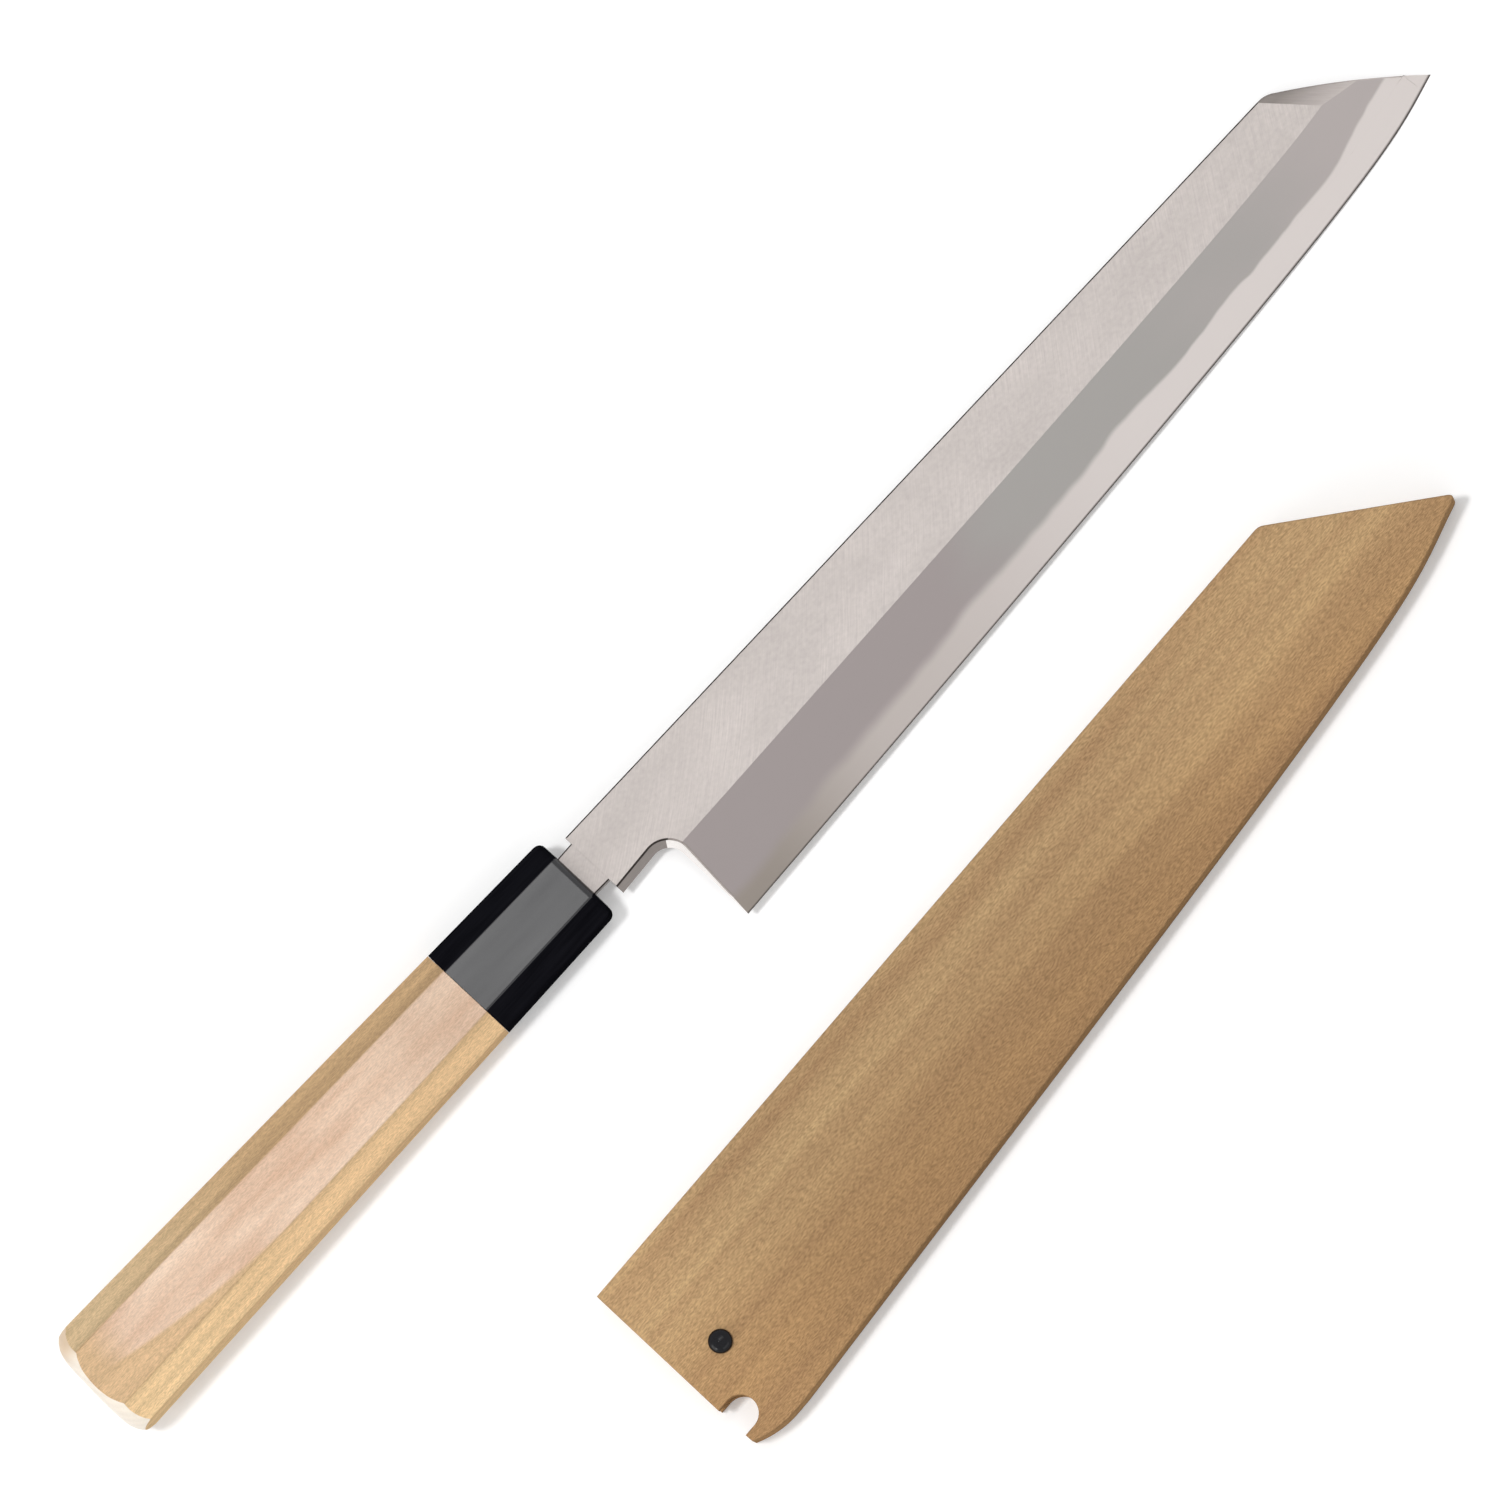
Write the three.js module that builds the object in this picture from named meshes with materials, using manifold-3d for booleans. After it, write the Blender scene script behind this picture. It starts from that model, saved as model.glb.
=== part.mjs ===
// Kiritsuke knife with its fitted wooden saya, in millimetres, +Z up.
//
// The knife is drawn in its own frame: X runs from the shoulder of the blade (the machi, X = 0)
// to the tip, +Y is the spine side, and the handle's axis is the X axis.
// The saya is drawn round the blade in the same X and Y, then turned and laid beside the knife.

import * as THREE from 'three';
import { mergeVertices } from 'three/addons/utils/BufferGeometryUtils.js';
import Module from 'manifold-3d';

// Blade outline
const bladeLength = 240;        // machi to tip
const spineHeight = 7.5;        // spine above the handle's axis
const heelDrop = 38.5;          // spine to heel
const heelSetback = 14.6;       // machi to heel
const neckDrop = 15.7;          // height of the neck under the spine at the choil
const neckFlare = 0.7;          // the neck widens by this much towards the machi
const choilRadius = 4.2;
const tipDrop = 22.4;           // spine to tip
const clipRun = 26.6;           // length of the clipped tip line along the blade
const clipBulge = 0.7;          // crown of the clipped line
const clipCorner = 2.2;         // rounding where the spine meets the clipped line

// The cutting edge is one cubic curve: a long flat stretch from the heel, a short belly at the tip
const edgeHeelSlope = 0.046;
const edgeTipSlope = 0.258;
const edgeHeelPull = 0.93;      // share of the edge's length that the heel end's tangent governs
const edgeTipPull = 0.086;

// Blade section
const spineThickness = 3.6;     // at the machi
const tipThickness = 2.0;       // at the end of the spine
const bevelWidthHeel = 20.0;    // wide bevel from the ridge line down to the edge
const bevelWidthTip = 16.3;
const edgeThickness = 0.06;
const choilDraft = 1.5;         // the neck, choil and heel lean in by this much from back to front
const tipFacetBack = 2.6;       // facet along the clipped tip: where its line leaves the spine
const tipFacetRun = 6.2;        // and where it meets the ridge line, both from the end of the spine
const tipFacetAngle = 4.0;      // degrees below the flat
const hollowWheelRadius = 430;  // the hollow back is ground on a wheel of this radius
const hollowRimEdge = 1.4;      // flat rim left at the cutting edge
const hollowRimSpine = 3.2;     // flat rim left at the spine and the clipped tip
const hollowRunOut = 16;        // length over which the hollow deepens from the heel

// Forge-welded steel plate behind the iron
const steelHeel = 0.8;          // thickness at the heel
const steelTip = 0.55;          // thickness at the tip
const steelCrown = 0.32;        // extra thickness halfway
const steelStart = 7;           // machi to the end of the steel in the neck
const steelWave = 0.06;         // hammering leaves the weld gently uneven
const steelWaveLength = 45;
const steelWaveCrest = 140;     // machi to one crest of the wave
const weldLine = 0.06;

// Tang, hidden in the handle but for the gap in front of the ferrule
const tangLength = 100;
const tangHeight = 11;
const tangRaise = 0.3;          // the tang's middle above the handle's axis at the machi
const tangEndHeight = 5;
const tangThickness = 3.3;
const tangEndThickness = 2.2;
const tangBedding = 0.35;       // bedding resin all round the tang
const tangEndRoom = 3;

// Octagonal handle: height is the blade's plane, thickness is across it
const machiGap = 4.25;          // bare tang between the ferrule and the machi
const ferruleLength = 33.25;
const woodLength = 113.7;
const handleHeightFront = 21.3;
const handleHeightButt = 26.3;
const handleThicknessFront = 16.2;
const handleThicknessButt = 23.8;
const cornerFront = 5.0;        // corner facets, measured along the height
const cornerButt = 5.9;
const cornerPitch = 38;         // degrees that they fall away from the wide facets
const ferruleRound = 1.8;       // round-over of the ferrule's front
const buttDrop = 1.2;           // drop of the domed butt at the middle of the wide facets
const buttPower = 6.2;          // the dome falls away with this power of the distance from its middle
const buttSkew = 2.5;           // degrees that the butt stands out of square
const glueLine = 0.1;
const tenonDiameter = 13;
const tenonLength = 9;
const tenonFit = 0.3;           // radial room round the tenon
const tenonEndRoom = 1;

// Saya: two face boards with a spacer between them, shaped from the blade
const boardThickness = 3.6;
const spacerThickness = 4.4;
const spineGap = 0.5;           // room between blade and spacer
const edgeGap = 0.7;
const spineWall = 2.6;          // widths of the spacer
const clipWall = 1.8;
const edgeWallHeel = 4.6;
const edgeWallTip = 2.0;
const mouthSetback = 2.4;       // machi to the saya's mouth when the knife is sheathed
const mouthSlant = 1.6;         // the mouth's lower corner stands back by this much
const sayaCorner = 1.2;         // rounding of the saya's corner at the end of its spine
const sayaTipRound = 2.0;       // rounding of its tip
const boardEase = 0.4;          // eased edges of the boards' faces
const notchRadius = 3.8;
const notchDepth = 6.6;
const notchDrop = 38.6;         // saya's spine face to the middle of the notch
const hookRound = 10;           // run of the curve under the hook below the notch
const hookBlunt = 1.9;          // height of the hook's blunt end

// Locking pin, behind the heel
const pinDiameter = 3.6;
const pinTipDiameter = 3.2;
const pinHeadDiameter = 5.2;
const pinHeadHeight = 1.9;
const pinHeadSeat = 0.5;        // straight rim under the dome
const pinDrop = 22.6;           // blade's spine to the pin's middle
const pinBladeGap = 0.6;        // room between the pin and the heel line
const pinFit = 0.25;            // radial room in the boards
const pinSeatGap = 0.1;
const pinEndRoom = 0.6;         // pin's end above the underside

// Surfaces for the preview
const ironSurface = { color: 0xb9b2ad, roughness: 0.42, metalness: 1 };
const steelSurface = { color: 0xd6d0cb, roughness: 0.28, metalness: 1 };
const hornSurface = { color: 0x1b1b1d, roughness: 0.22 };
const handleWoodSurface = { color: 0xd9b48c, roughness: 0.6 };
const sayaWoodSurface = { color: 0xb8946a, roughness: 0.62 };
const pinSurface = { color: 0x141414, roughness: 0.25 };

// Where the saya lies beside the knife: its mouth corner at the spine, and its turn in degrees
const sayaLieX = -65.1;
const sayaLieY = -63.0;
const sayaTurn = 2.4;

// How finely curves are cut
const edgeSteps = 40;
const sectionSteps = 36;
const tipCrowding = 0.4;        // how much closer the blade's sections stand at the tip
const hollowSteps = 8;
const arcSteps = 10;
const roundSteps = 4;
const easeSteps = 2;
const roundSides = 32;
const domeSteps = 12;
const domeSides = 64;
const overshoot = 8;            // how far cutting solids stand past what they cut
const sameVertex = 1e-4;        // corners closer than this are one

const wasm = await Module();
wasm.setup();

// Helpers: solids for booleans, lofts and half-spaces

function solidOf(geometry) {
  const bare = geometry.index ? geometry.clone() : geometry;
  bare.deleteAttribute('normal');
  bare.deleteAttribute('uv');
  const merged = mergeVertices(bare, sameVertex);
  const vertProperties = new Float32Array(merged.attributes.position.array);
  const triVerts = new Uint32Array(merged.index.array);
  return new wasm.Manifold(new wasm.Mesh({ numProp: 3, vertProperties, triVerts }));
}

function geometryOf(solid) {
  const mesh = solid.getMesh();
  const geometry = new THREE.BufferGeometry();
  geometry.setAttribute('position', new THREE.BufferAttribute(mesh.vertProperties, 3));
  geometry.setIndex(new THREE.BufferAttribute(mesh.triVerts, 1));
  geometry.computeVertexNormals();
  return geometry;
}

// A closed solid through sections that each lie across X. Each section lists its points
// anticlockwise as seen from +X, and all have the same count.
function loft(sections) {
  const count = sections[0].length;
  const points = sections.flat();
  const index = [];
  for (let s = 0; s < sections.length - 1; s++) {
    for (let i = 0; i < count; i++) {
      const here = s * count + i;
      const beside = s * count + ((i + 1) % count);
      index.push(here, beside, here + count);
      index.push(beside, beside + count, here + count);
    }
  }
  const cap = (section, start, turned) => {
    const flat = section.map((p) => new THREE.Vector2(p.y, p.z));
    for (const [a, b, c] of THREE.ShapeUtils.triangulateShape(flat, [])) {
      index.push(start + a, start + (turned ? c : b), start + (turned ? b : c));
    }
  };
  cap(sections[0], 0, true);
  cap(sections.at(-1), points.length - count, false);
  const geometry = new THREE.BufferGeometry();
  geometry.setFromPoints(points);
  geometry.setIndex(index);
  return geometry;
}

function extrudeBetween(shape, low, high) {
  const geometry = new THREE.ExtrudeGeometry(shape, {
    depth: high - low,
    bevelEnabled: false,
    curveSegments: arcSteps,
  });
  return geometry.translate(0, 0, low);
}

const lerp = THREE.MathUtils.lerp;
const share = (value, from, to) => THREE.MathUtils.clamp((value - from) / (to - from), 0, 1);

// The blade's lines in plan

const heel = new THREE.Vector2(heelSetback, spineHeight - heelDrop);
const tip = new THREE.Vector2(bladeLength, spineHeight - tipDrop);
const spineEnd = new THREE.Vector2(bladeLength - clipRun, spineHeight);
const edgeSpan = bladeLength - heelSetback;
const edgeCurve = new THREE.CubicBezierCurve(
  heel,
  new THREE.Vector2(heel.x + edgeHeelPull * edgeSpan, heel.y + edgeHeelPull * edgeSpan * edgeHeelSlope),
  new THREE.Vector2(tip.x - edgeTipPull * edgeSpan, tip.y - edgeTipPull * edgeSpan * edgeTipSlope),
  tip,
);
const edgePoints = edgeCurve.getPoints(edgeSteps);

// Height of the edge at a place along the blade, carried on straight past the heel and the tip
function edgeAt(x) {
  if (x <= heel.x) return heel.y + (x - heel.x) * edgeHeelSlope;
  if (x >= tip.x) return tip.y + (x - tip.x) * edgeTipSlope;
  const k = edgePoints.findIndex((p) => p.x >= x);
  const [a, b] = [edgePoints[k - 1], edgePoints[k]];
  return lerp(a.y, b.y, share(x, a.x, b.x));
}

const clipSlope = (spineEnd.y - tip.y) / clipRun;
const clipLength = Math.hypot(clipRun, spineEnd.y - tip.y);
const clipNormal = new THREE.Vector2(spineEnd.y - tip.y, clipRun).divideScalar(clipLength);

// Top of the blade: the spine, then the clipped line
const topAt = (x) => Math.min(spineHeight, spineEnd.y - (x - spineEnd.x) * clipSlope);
const flatAt = (x) => lerp(spineThickness, tipThickness, x / spineEnd.x);
const ridgeAt = (x) => edgeAt(x) + lerp(bevelWidthHeel, bevelWidthTip, share(x, heel.x, spineEnd.x));

const neckBottom = spineHeight - neckDrop;
const choilCentre = new THREE.Vector2(heelSetback - choilRadius, neckBottom - choilRadius);

function bladeOutline() {
  const along = new THREE.Vector2().subVectors(tip, spineEnd).normalize();
  const shape = new THREE.Shape();
  shape.moveTo(0, spineHeight);
  shape.lineTo(spineEnd.x - clipCorner, spineHeight);
  shape.quadraticCurveTo(
    spineEnd.x, spineEnd.y,
    spineEnd.x + along.x * clipCorner, spineEnd.y + along.y * clipCorner,
  );
  shape.quadraticCurveTo(
    (spineEnd.x + tip.x) / 2 + clipNormal.x * 2 * clipBulge,
    (spineEnd.y + tip.y) / 2 + clipNormal.y * 2 * clipBulge,
    tip.x, tip.y,
  );
  for (const p of [...edgePoints].reverse().slice(1)) shape.lineTo(p.x, p.y);
  shape.lineTo(heelSetback, choilCentre.y);
  shape.absarc(choilCentre.x, choilCentre.y, choilRadius, 0, Math.PI / 2, false);
  shape.lineTo(0, neckBottom - neckFlare);
  shape.closePath();
  return shape;
}

// The same neck, choil and heel line, with every other side far away, so that only these lean in
function choilOutline() {
  const far = bladeLength + overshoot;
  const neckSlope = neckFlare / choilCentre.x;
  const shape = new THREE.Shape();
  shape.moveTo(-overshoot, spineHeight + overshoot);
  shape.lineTo(-overshoot, neckBottom - neckFlare - overshoot * neckSlope);
  shape.lineTo(choilCentre.x, neckBottom);
  shape.absarc(choilCentre.x, choilCentre.y, choilRadius, Math.PI / 2, 0, true);
  shape.lineTo(heel.x, heel.y);
  shape.lineTo(heel.x, heel.y - overshoot);
  shape.lineTo(far, heel.y - overshoot);
  shape.lineTo(far, spineHeight + overshoot);
  shape.closePath();
  return shape;
}

// Section of the ground blade: flat side, ridge, wide bevel, and the hollow back.
// The back lies at Z = 0.
function bladeSection(x) {
  const flat = flatAt(x);
  const ridge = ridgeAt(x);
  const edge = edgeAt(x);
  const slope = (flat - edgeThickness) / (ridge - edge);
  const apex = edge - edgeThickness / slope;
  const top = spineHeight + overshoot;
  const rimLow = edge + hollowRimEdge;
  const rimHigh = Math.max(rimLow + hollowRimEdge, topAt(x) - hollowRimSpine);
  const width = rimHigh - rimLow;
  const runOut = Math.sqrt(share(x, heelSetback, heelSetback + hollowRunOut));
  const depth = runOut * (width * width) / (8 * hollowWheelRadius);
  const points = [
    new THREE.Vector3(x, top, 0),
    new THREE.Vector3(x, top, flat),
    new THREE.Vector3(x, ridge, flat),
    new THREE.Vector3(x, apex, 0),
  ];
  for (let i = 0; i <= hollowSteps; i++) {
    const s = i / hollowSteps;
    points.push(new THREE.Vector3(x, lerp(rimLow, rimHigh, s), 4 * depth * s * (1 - s)));
  }
  return points;
}

// Places along the blade where its section is drawn: even along the flat, closer at the tip
function stations(from, to) {
  const list = [from];
  for (let i = 0; i <= sectionSteps; i++) {
    const s = i / sectionSteps;
    list.push(lerp(heelSetback, tip.x, s + tipCrowding * s * (1 - s)));
  }
  list.push(to);
  return list;
}

function tipFacetCutter() {
  const onFlat = (x, y) => new THREE.Vector3(x, y, flatAt(x));
  const upper = onFlat(spineEnd.x - tipFacetBack, spineHeight);
  const ridgeX = spineEnd.x + tipFacetRun;
  const lower = onFlat(ridgeX, ridgeAt(ridgeX));
  const down = new THREE.Vector3().subVectors(lower, upper).normalize();
  const angle = THREE.MathUtils.degToRad(tipFacetAngle);
  const out = new THREE.Vector3(-down.y, down.x, -Math.tan(angle));
  const normal = new THREE.Vector3().crossVectors(down, out).normalize();
  const reach = 2 * clipLength;
  const block = new THREE.BoxGeometry(reach, reach, reach);
  block.translate(0, 0, reach / 2);
  const across = new THREE.Vector3().crossVectors(normal, down);
  const place = new THREE.Matrix4().makeBasis(down, across, normal).setPosition(upper);
  return solidOf(block.applyMatrix4(place));
}

// Everything below the weld between steel and iron
function steelLayer(drop, start) {
  const low = -overshoot;
  const back = heel.y - overshoot;
  const front = spineHeight + overshoot;
  const sections = stations(start, bladeLength + overshoot).filter((x) => x >= start).map((x) => {
    const along = share(x, heel.x, tip.x);
    const crown = 4 * along * (1 - along) * steelCrown;
    const wave = steelWave * Math.cos((2 * Math.PI * (x - steelWaveCrest)) / steelWaveLength);
    const top = lerp(steelHeel, steelTip, along) + crown + wave - drop;
    return [
      new THREE.Vector3(x, back, low),
      new THREE.Vector3(x, front, low),
      new THREE.Vector3(x, front, top),
      new THREE.Vector3(x, back, top),
    ];
  });
  return solidOf(loft(sections));
}

function tangSection(x, grow) {
  const along = -x / tangLength;
  const half = lerp(tangHeight, tangEndHeight, along) / 2 + grow;
  const middle = lerp(tangRaise, 0, along);
  const thick = lerp(tangThickness, tangEndThickness, along) / 2 + grow;
  return [
    new THREE.Vector3(x, middle - half, -thick),
    new THREE.Vector3(x, middle + half, -thick),
    new THREE.Vector3(x, middle + half, thick),
    new THREE.Vector3(x, middle - half, thick),
  ];
}

function makeBlade() {
  const outline = solidOf(extrudeBetween(bladeOutline(), -overshoot, overshoot));
  const leaning = new THREE.ExtrudeGeometry(choilOutline(), {
    depth: overshoot,
    bevelEnabled: true,
    bevelThickness: spineThickness,
    bevelSize: choilDraft,
    bevelOffset: -choilDraft,
    bevelSegments: 1,
    curveSegments: arcSteps,
  });
  leaning.translate(0, 0, -overshoot);
  const ground = stations(-overshoot, bladeLength + overshoot).map(bladeSection);
  const blade = outline
    .intersect(solidOf(leaning))
    .intersect(solidOf(loft(ground)))
    .subtract(tipFacetCutter())
    .translate([0, 0, -spineThickness / 2]);
  const weld = (drop, start) => steelLayer(drop, start).translate([0, 0, -spineThickness / 2]);
  const tang = solidOf(loft([tangSection(-tangLength, 0), tangSection(choilRadius / 2, 0)]));
  return {
    iron: geometryOf(blade.subtract(weld(0, steelStart)).add(tang)),
    steel: geometryOf(blade.intersect(weld(weldLine, steelStart + weldLine))),
  };
}

// Handle and ferrule

const ferruleFront = -machiGap;
const ferruleBack = ferruleFront - ferruleLength;
const butt = ferruleBack - woodLength;

// One octagonal section of the handle, with every side drawn in by inset
function octagon(x, inset) {
  const along = share(x, ferruleFront, butt);
  const y = lerp(handleHeightFront, handleHeightButt, along) / 2 - inset;
  const z = lerp(handleThicknessFront, handleThicknessButt, along) / 2 - inset;
  const corner = lerp(cornerFront, cornerButt, along);
  const pitch = THREE.MathUtils.degToRad(cornerPitch);
  const wide = corner - inset * (1 - Math.tan(pitch / 2));
  const fall = corner * Math.tan(pitch) - inset * (1 - Math.tan(Math.PI / 4 - pitch / 2));
  return [
    [y, z - fall], [y - wide, z], [wide - y, z], [-y, z - fall],
    [-y, fall - z], [wide - y, -z], [y - wide, -z], [y, fall - z],
  ].map(([a, b]) => new THREE.Vector3(x, a, b));
}

// Sections that roll the ferrule's front over: from the full octagon out to its inset end face
function rolledFront() {
  const rings = [];
  for (let i = 0; i <= roundSteps; i++) {
    const turn = (i / roundSteps) * (Math.PI / 2);
    const back = ferruleRound * (1 - Math.sin(turn));
    rings.push(octagon(ferruleFront - back, ferruleRound * (1 - Math.cos(turn))));
  }
  return rings;
}

// A round bar along X whose end is the handle's domed butt
function domedBar() {
  const radius = Math.hypot(handleHeightButt, handleThicknessButt) / 2;
  const profile = [];
  for (let i = 0; i <= domeSteps; i++) {
    const out = radius * Math.sqrt(i / domeSteps);
    profile.push(new THREE.Vector2(out, buttDrop * Math.pow(out / (handleThicknessButt / 2), buttPower)));
  }
  profile.push(new THREE.Vector2(radius, 2 * woodLength), new THREE.Vector2(0, 2 * woodLength));
  const bar = new THREE.LatheGeometry(profile, domeSides);
  bar.rotateZ(-Math.PI / 2 - THREE.MathUtils.degToRad(buttSkew));
  return solidOf(bar.translate(butt, 0, 0));
}

function cylinderAlongX(diameter, from, to) {
  const round = new THREE.CylinderGeometry(diameter / 2, diameter / 2, to - from, roundSides);
  return round.rotateZ(Math.PI / 2).translate((from + to) / 2, 0, 0);
}

// The room that the tang and its bedding take up
function tangSpace(from, to) {
  return solidOf(loft([tangSection(from, tangBedding), tangSection(to, tangBedding)]));
}

function makeFerrule() {
  const body = solidOf(loft([octagon(ferruleBack, 0), ...rolledFront()]));
  const socketEnd = ferruleBack + tenonLength + tenonEndRoom;
  const socket = cylinderAlongX(tenonDiameter + 2 * tenonFit, ferruleBack - overshoot, socketEnd);
  return geometryOf(body.subtract(solidOf(socket)).subtract(tangSpace(ferruleBack, overshoot)));
}

function makeHandle() {
  const front = ferruleBack - glueLine;
  const body = solidOf(loft([octagon(butt - overshoot, 0), octagon(butt, 0), octagon(front, 0)]))
    .intersect(domedBar());
  const tenon = solidOf(cylinderAlongX(tenonDiameter, front - overshoot, ferruleBack + tenonLength));
  const socket = tangSpace(-tangLength - tangEndRoom, ferruleBack + tenonLength + overshoot);
  return geometryOf(body.add(tenon).subtract(socket));
}

// Saya

const sayaTop = spineHeight + spineGap + spineWall;
const notchY = sayaTop - notchDrop;
const pinPlace = new THREE.Vector2(heelSetback - pinBladeGap - pinDiameter / 2, spineHeight - pinDrop);

// The cutting edge moved outwards, from the tip back to the heel
function edgeOffset(heelRoom, tipRoom) {
  return edgePoints.map((p, i) => {
    const t = i / edgeSteps;
    const along = edgeCurve.getTangent(t);
    const room = lerp(heelRoom, tipRoom, share(p.x, heel.x, tip.x));
    return new THREE.Vector2(p.x + along.y * room, p.y - along.x * room);
  }).reverse();
}

// Where the clipped line, moved outwards, meets a level line
function clipOffsetAt(y, room) {
  const x = spineEnd.x + clipNormal.x * room;
  const level = spineEnd.y + clipNormal.y * room;
  return new THREE.Vector2(x + (level - y) / clipSlope, y);
}

// Where the clipped line, moved outwards, meets the moved edge: the edge's points past it go
function sayaTip(edge, room) {
  const outside = (p) => (p.x - spineEnd.x) * clipNormal.x + (p.y - spineEnd.y) * clipNormal.y - room;
  const lead = new THREE.Vector2(edge[0].x + overshoot, edge[0].y + overshoot * edgeTipSlope);
  const path = [lead, ...edge];
  const k = path.findIndex((p) => outside(p) < 0);
  const s = outside(path[k - 1]) / (outside(path[k - 1]) - outside(path[k]));
  return { point: path[k - 1].clone().lerp(path[k], s), rest: path.slice(k) };
}

// The blade's space in the spacer, open at the mouth
function slotOutline() {
  const room = Math.max(spineGap, edgeGap);
  const top = spineHeight + spineGap;
  const { point, rest } = sayaTip(edgeOffset(edgeGap, edgeGap), room);
  const shape = new THREE.Shape();
  shape.moveTo(mouthSetback - mouthSlant - overshoot, top);
  const corner = clipOffsetAt(top, room);
  shape.lineTo(corner.x, corner.y);
  shape.lineTo(point.x, point.y);
  for (const p of rest) shape.lineTo(p.x, p.y);
  shape.lineTo(mouthSetback - mouthSlant - overshoot, rest.at(-1).y);
  shape.closePath();
  return shape;
}

function sayaOutline() {
  const room = edgeGap + clipWall;
  const corner = clipOffsetAt(sayaTop, room);
  const { point, rest } = sayaTip(edgeOffset(edgeGap + edgeWallHeel, edgeGap + edgeWallTip), room);
  const bottom = rest.at(-1);
  const mouthAt = (y) => mouthSetback - mouthSlant * share(y, sayaTop, notchY);
  const notchX = mouthSetback - mouthSlant + notchDepth - notchRadius;
  const hookX = mouthAt(notchY - notchRadius);
  const shape = new THREE.Shape();
  shape.moveTo(mouthSetback, sayaTop);
  shape.lineTo(corner.x - sayaCorner, sayaTop);
  const along = new THREE.Vector2().subVectors(point, corner).normalize();
  shape.quadraticCurveTo(
    corner.x, corner.y,
    corner.x + along.x * sayaCorner, corner.y + along.y * sayaCorner,
  );
  shape.lineTo(point.x - along.x * sayaTipRound, point.y - along.y * sayaTipRound);
  shape.quadraticCurveTo(
    point.x, point.y,
    point.x - sayaTipRound, point.y - sayaTipRound * edgeTipSlope,
  );
  for (const p of rest.filter((q) => q.x < point.x - 2 * sayaTipRound)) shape.lineTo(p.x, p.y);
  shape.lineTo(hookX + hookRound, bottom.y);
  shape.quadraticCurveTo(hookX + hookRound / 2, bottom.y, hookX, notchY - notchRadius - hookBlunt);
  shape.lineTo(hookX, notchY - notchRadius);
  shape.absarc(notchX, notchY, notchRadius, -Math.PI / 2, Math.PI / 2, false);
  shape.lineTo(mouthAt(notchY + notchRadius), notchY + notchRadius);
  shape.closePath();
  return shape;
}

// One face board, with its outer face up or down and the edges of that face eased
function makeBoard(low, outerUp) {
  const high = low + boardThickness;
  const eased = new THREE.ExtrudeGeometry(sayaOutline(), {
    depth: boardThickness,
    bevelEnabled: true,
    bevelThickness: boardEase,
    bevelSize: boardEase,
    bevelOffset: -boardEase,
    bevelSegments: easeSteps,
    curveSegments: arcSteps,
  });
  eased.translate(0, 0, outerUp ? low - boardEase : low + boardEase);
  const reach = 4 * bladeLength;
  const slab = new THREE.BoxGeometry(reach, reach, boardThickness).translate(0, 0, (low + high) / 2);
  const hole = new THREE.CylinderGeometry(
    pinDiameter / 2 + pinFit, pinDiameter / 2 + pinFit, boardThickness + 2 * overshoot, roundSides,
  );
  hole.rotateX(Math.PI / 2).translate(pinPlace.x, pinPlace.y, (low + high) / 2);
  return geometryOf(solidOf(eased).intersect(solidOf(slab)).subtract(solidOf(hole)));
}

// The spacer is one ring round the slot, open at the mouth and mitred into two strips at the tip
function makeSpacers() {
  const low = boardThickness + glueLine;
  const high = low + spacerThickness;
  const ring = solidOf(extrudeBetween(sayaOutline(), low, high))
    .subtract(solidOf(extrudeBetween(slotOutline(), low - overshoot, high + overshoot)));
  const inner = sayaTip(edgeOffset(edgeGap, edgeGap), Math.max(spineGap, edgeGap)).point;
  const outerEdge = edgeOffset(edgeGap + edgeWallHeel, edgeGap + edgeWallTip);
  const outer = sayaTip(outerEdge, edgeGap + clipWall).point;
  const mitre = new THREE.Vector2().subVectors(outer, inner).normalize();
  const reach = bladeLength + overshoot;
  const half = (side) => {
    const shift = new THREE.Vector2(-mitre.y, mitre.x).multiplyScalar((side * glueLine) / 2);
    const start = inner.clone().add(shift);
    const shape = new THREE.Shape();
    shape.moveTo(start.x + mitre.x * reach, start.y + mitre.y * reach);
    shape.lineTo(start.x, start.y);
    shape.lineTo(-reach, start.y);
    shape.lineTo(-reach, start.y + side * reach);
    shape.lineTo(start.x + mitre.x * reach, start.y + side * reach);
    shape.closePath();
    return solidOf(extrudeBetween(shape, low - overshoot, high + overshoot));
  };
  return { spine: geometryOf(ring.intersect(half(1))), edge: geometryOf(ring.intersect(half(-1))) };
}

function makePin() {
  const top = 2 * boardThickness + spacerThickness + 2 * glueLine + pinSeatGap;
  const head = pinHeadDiameter / 2;
  const profile = [
    new THREE.Vector2(0, pinEndRoom),
    new THREE.Vector2(pinTipDiameter / 2, pinEndRoom),
    new THREE.Vector2(pinDiameter / 2, top),
    new THREE.Vector2(head, top),
  ];
  for (let i = 0; i <= roundSteps; i++) {
    const turn = (i / roundSteps) * (Math.PI / 2);
    const height = pinHeadSeat + (pinHeadHeight - pinHeadSeat) * Math.sin(turn);
    profile.push(new THREE.Vector2(i === roundSteps ? 0 : head * Math.cos(turn), top + height));
  }
  const pin = new THREE.LatheGeometry(profile, roundSides).rotateX(Math.PI / 2);
  return pin.translate(pinPlace.x, pinPlace.y, 0);
}

// Assembly

function piece(name, geometry, surface) {
  const mesh = new THREE.Mesh(geometry, new THREE.MeshStandardMaterial(surface));
  mesh.name = name;
  return mesh;
}

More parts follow.
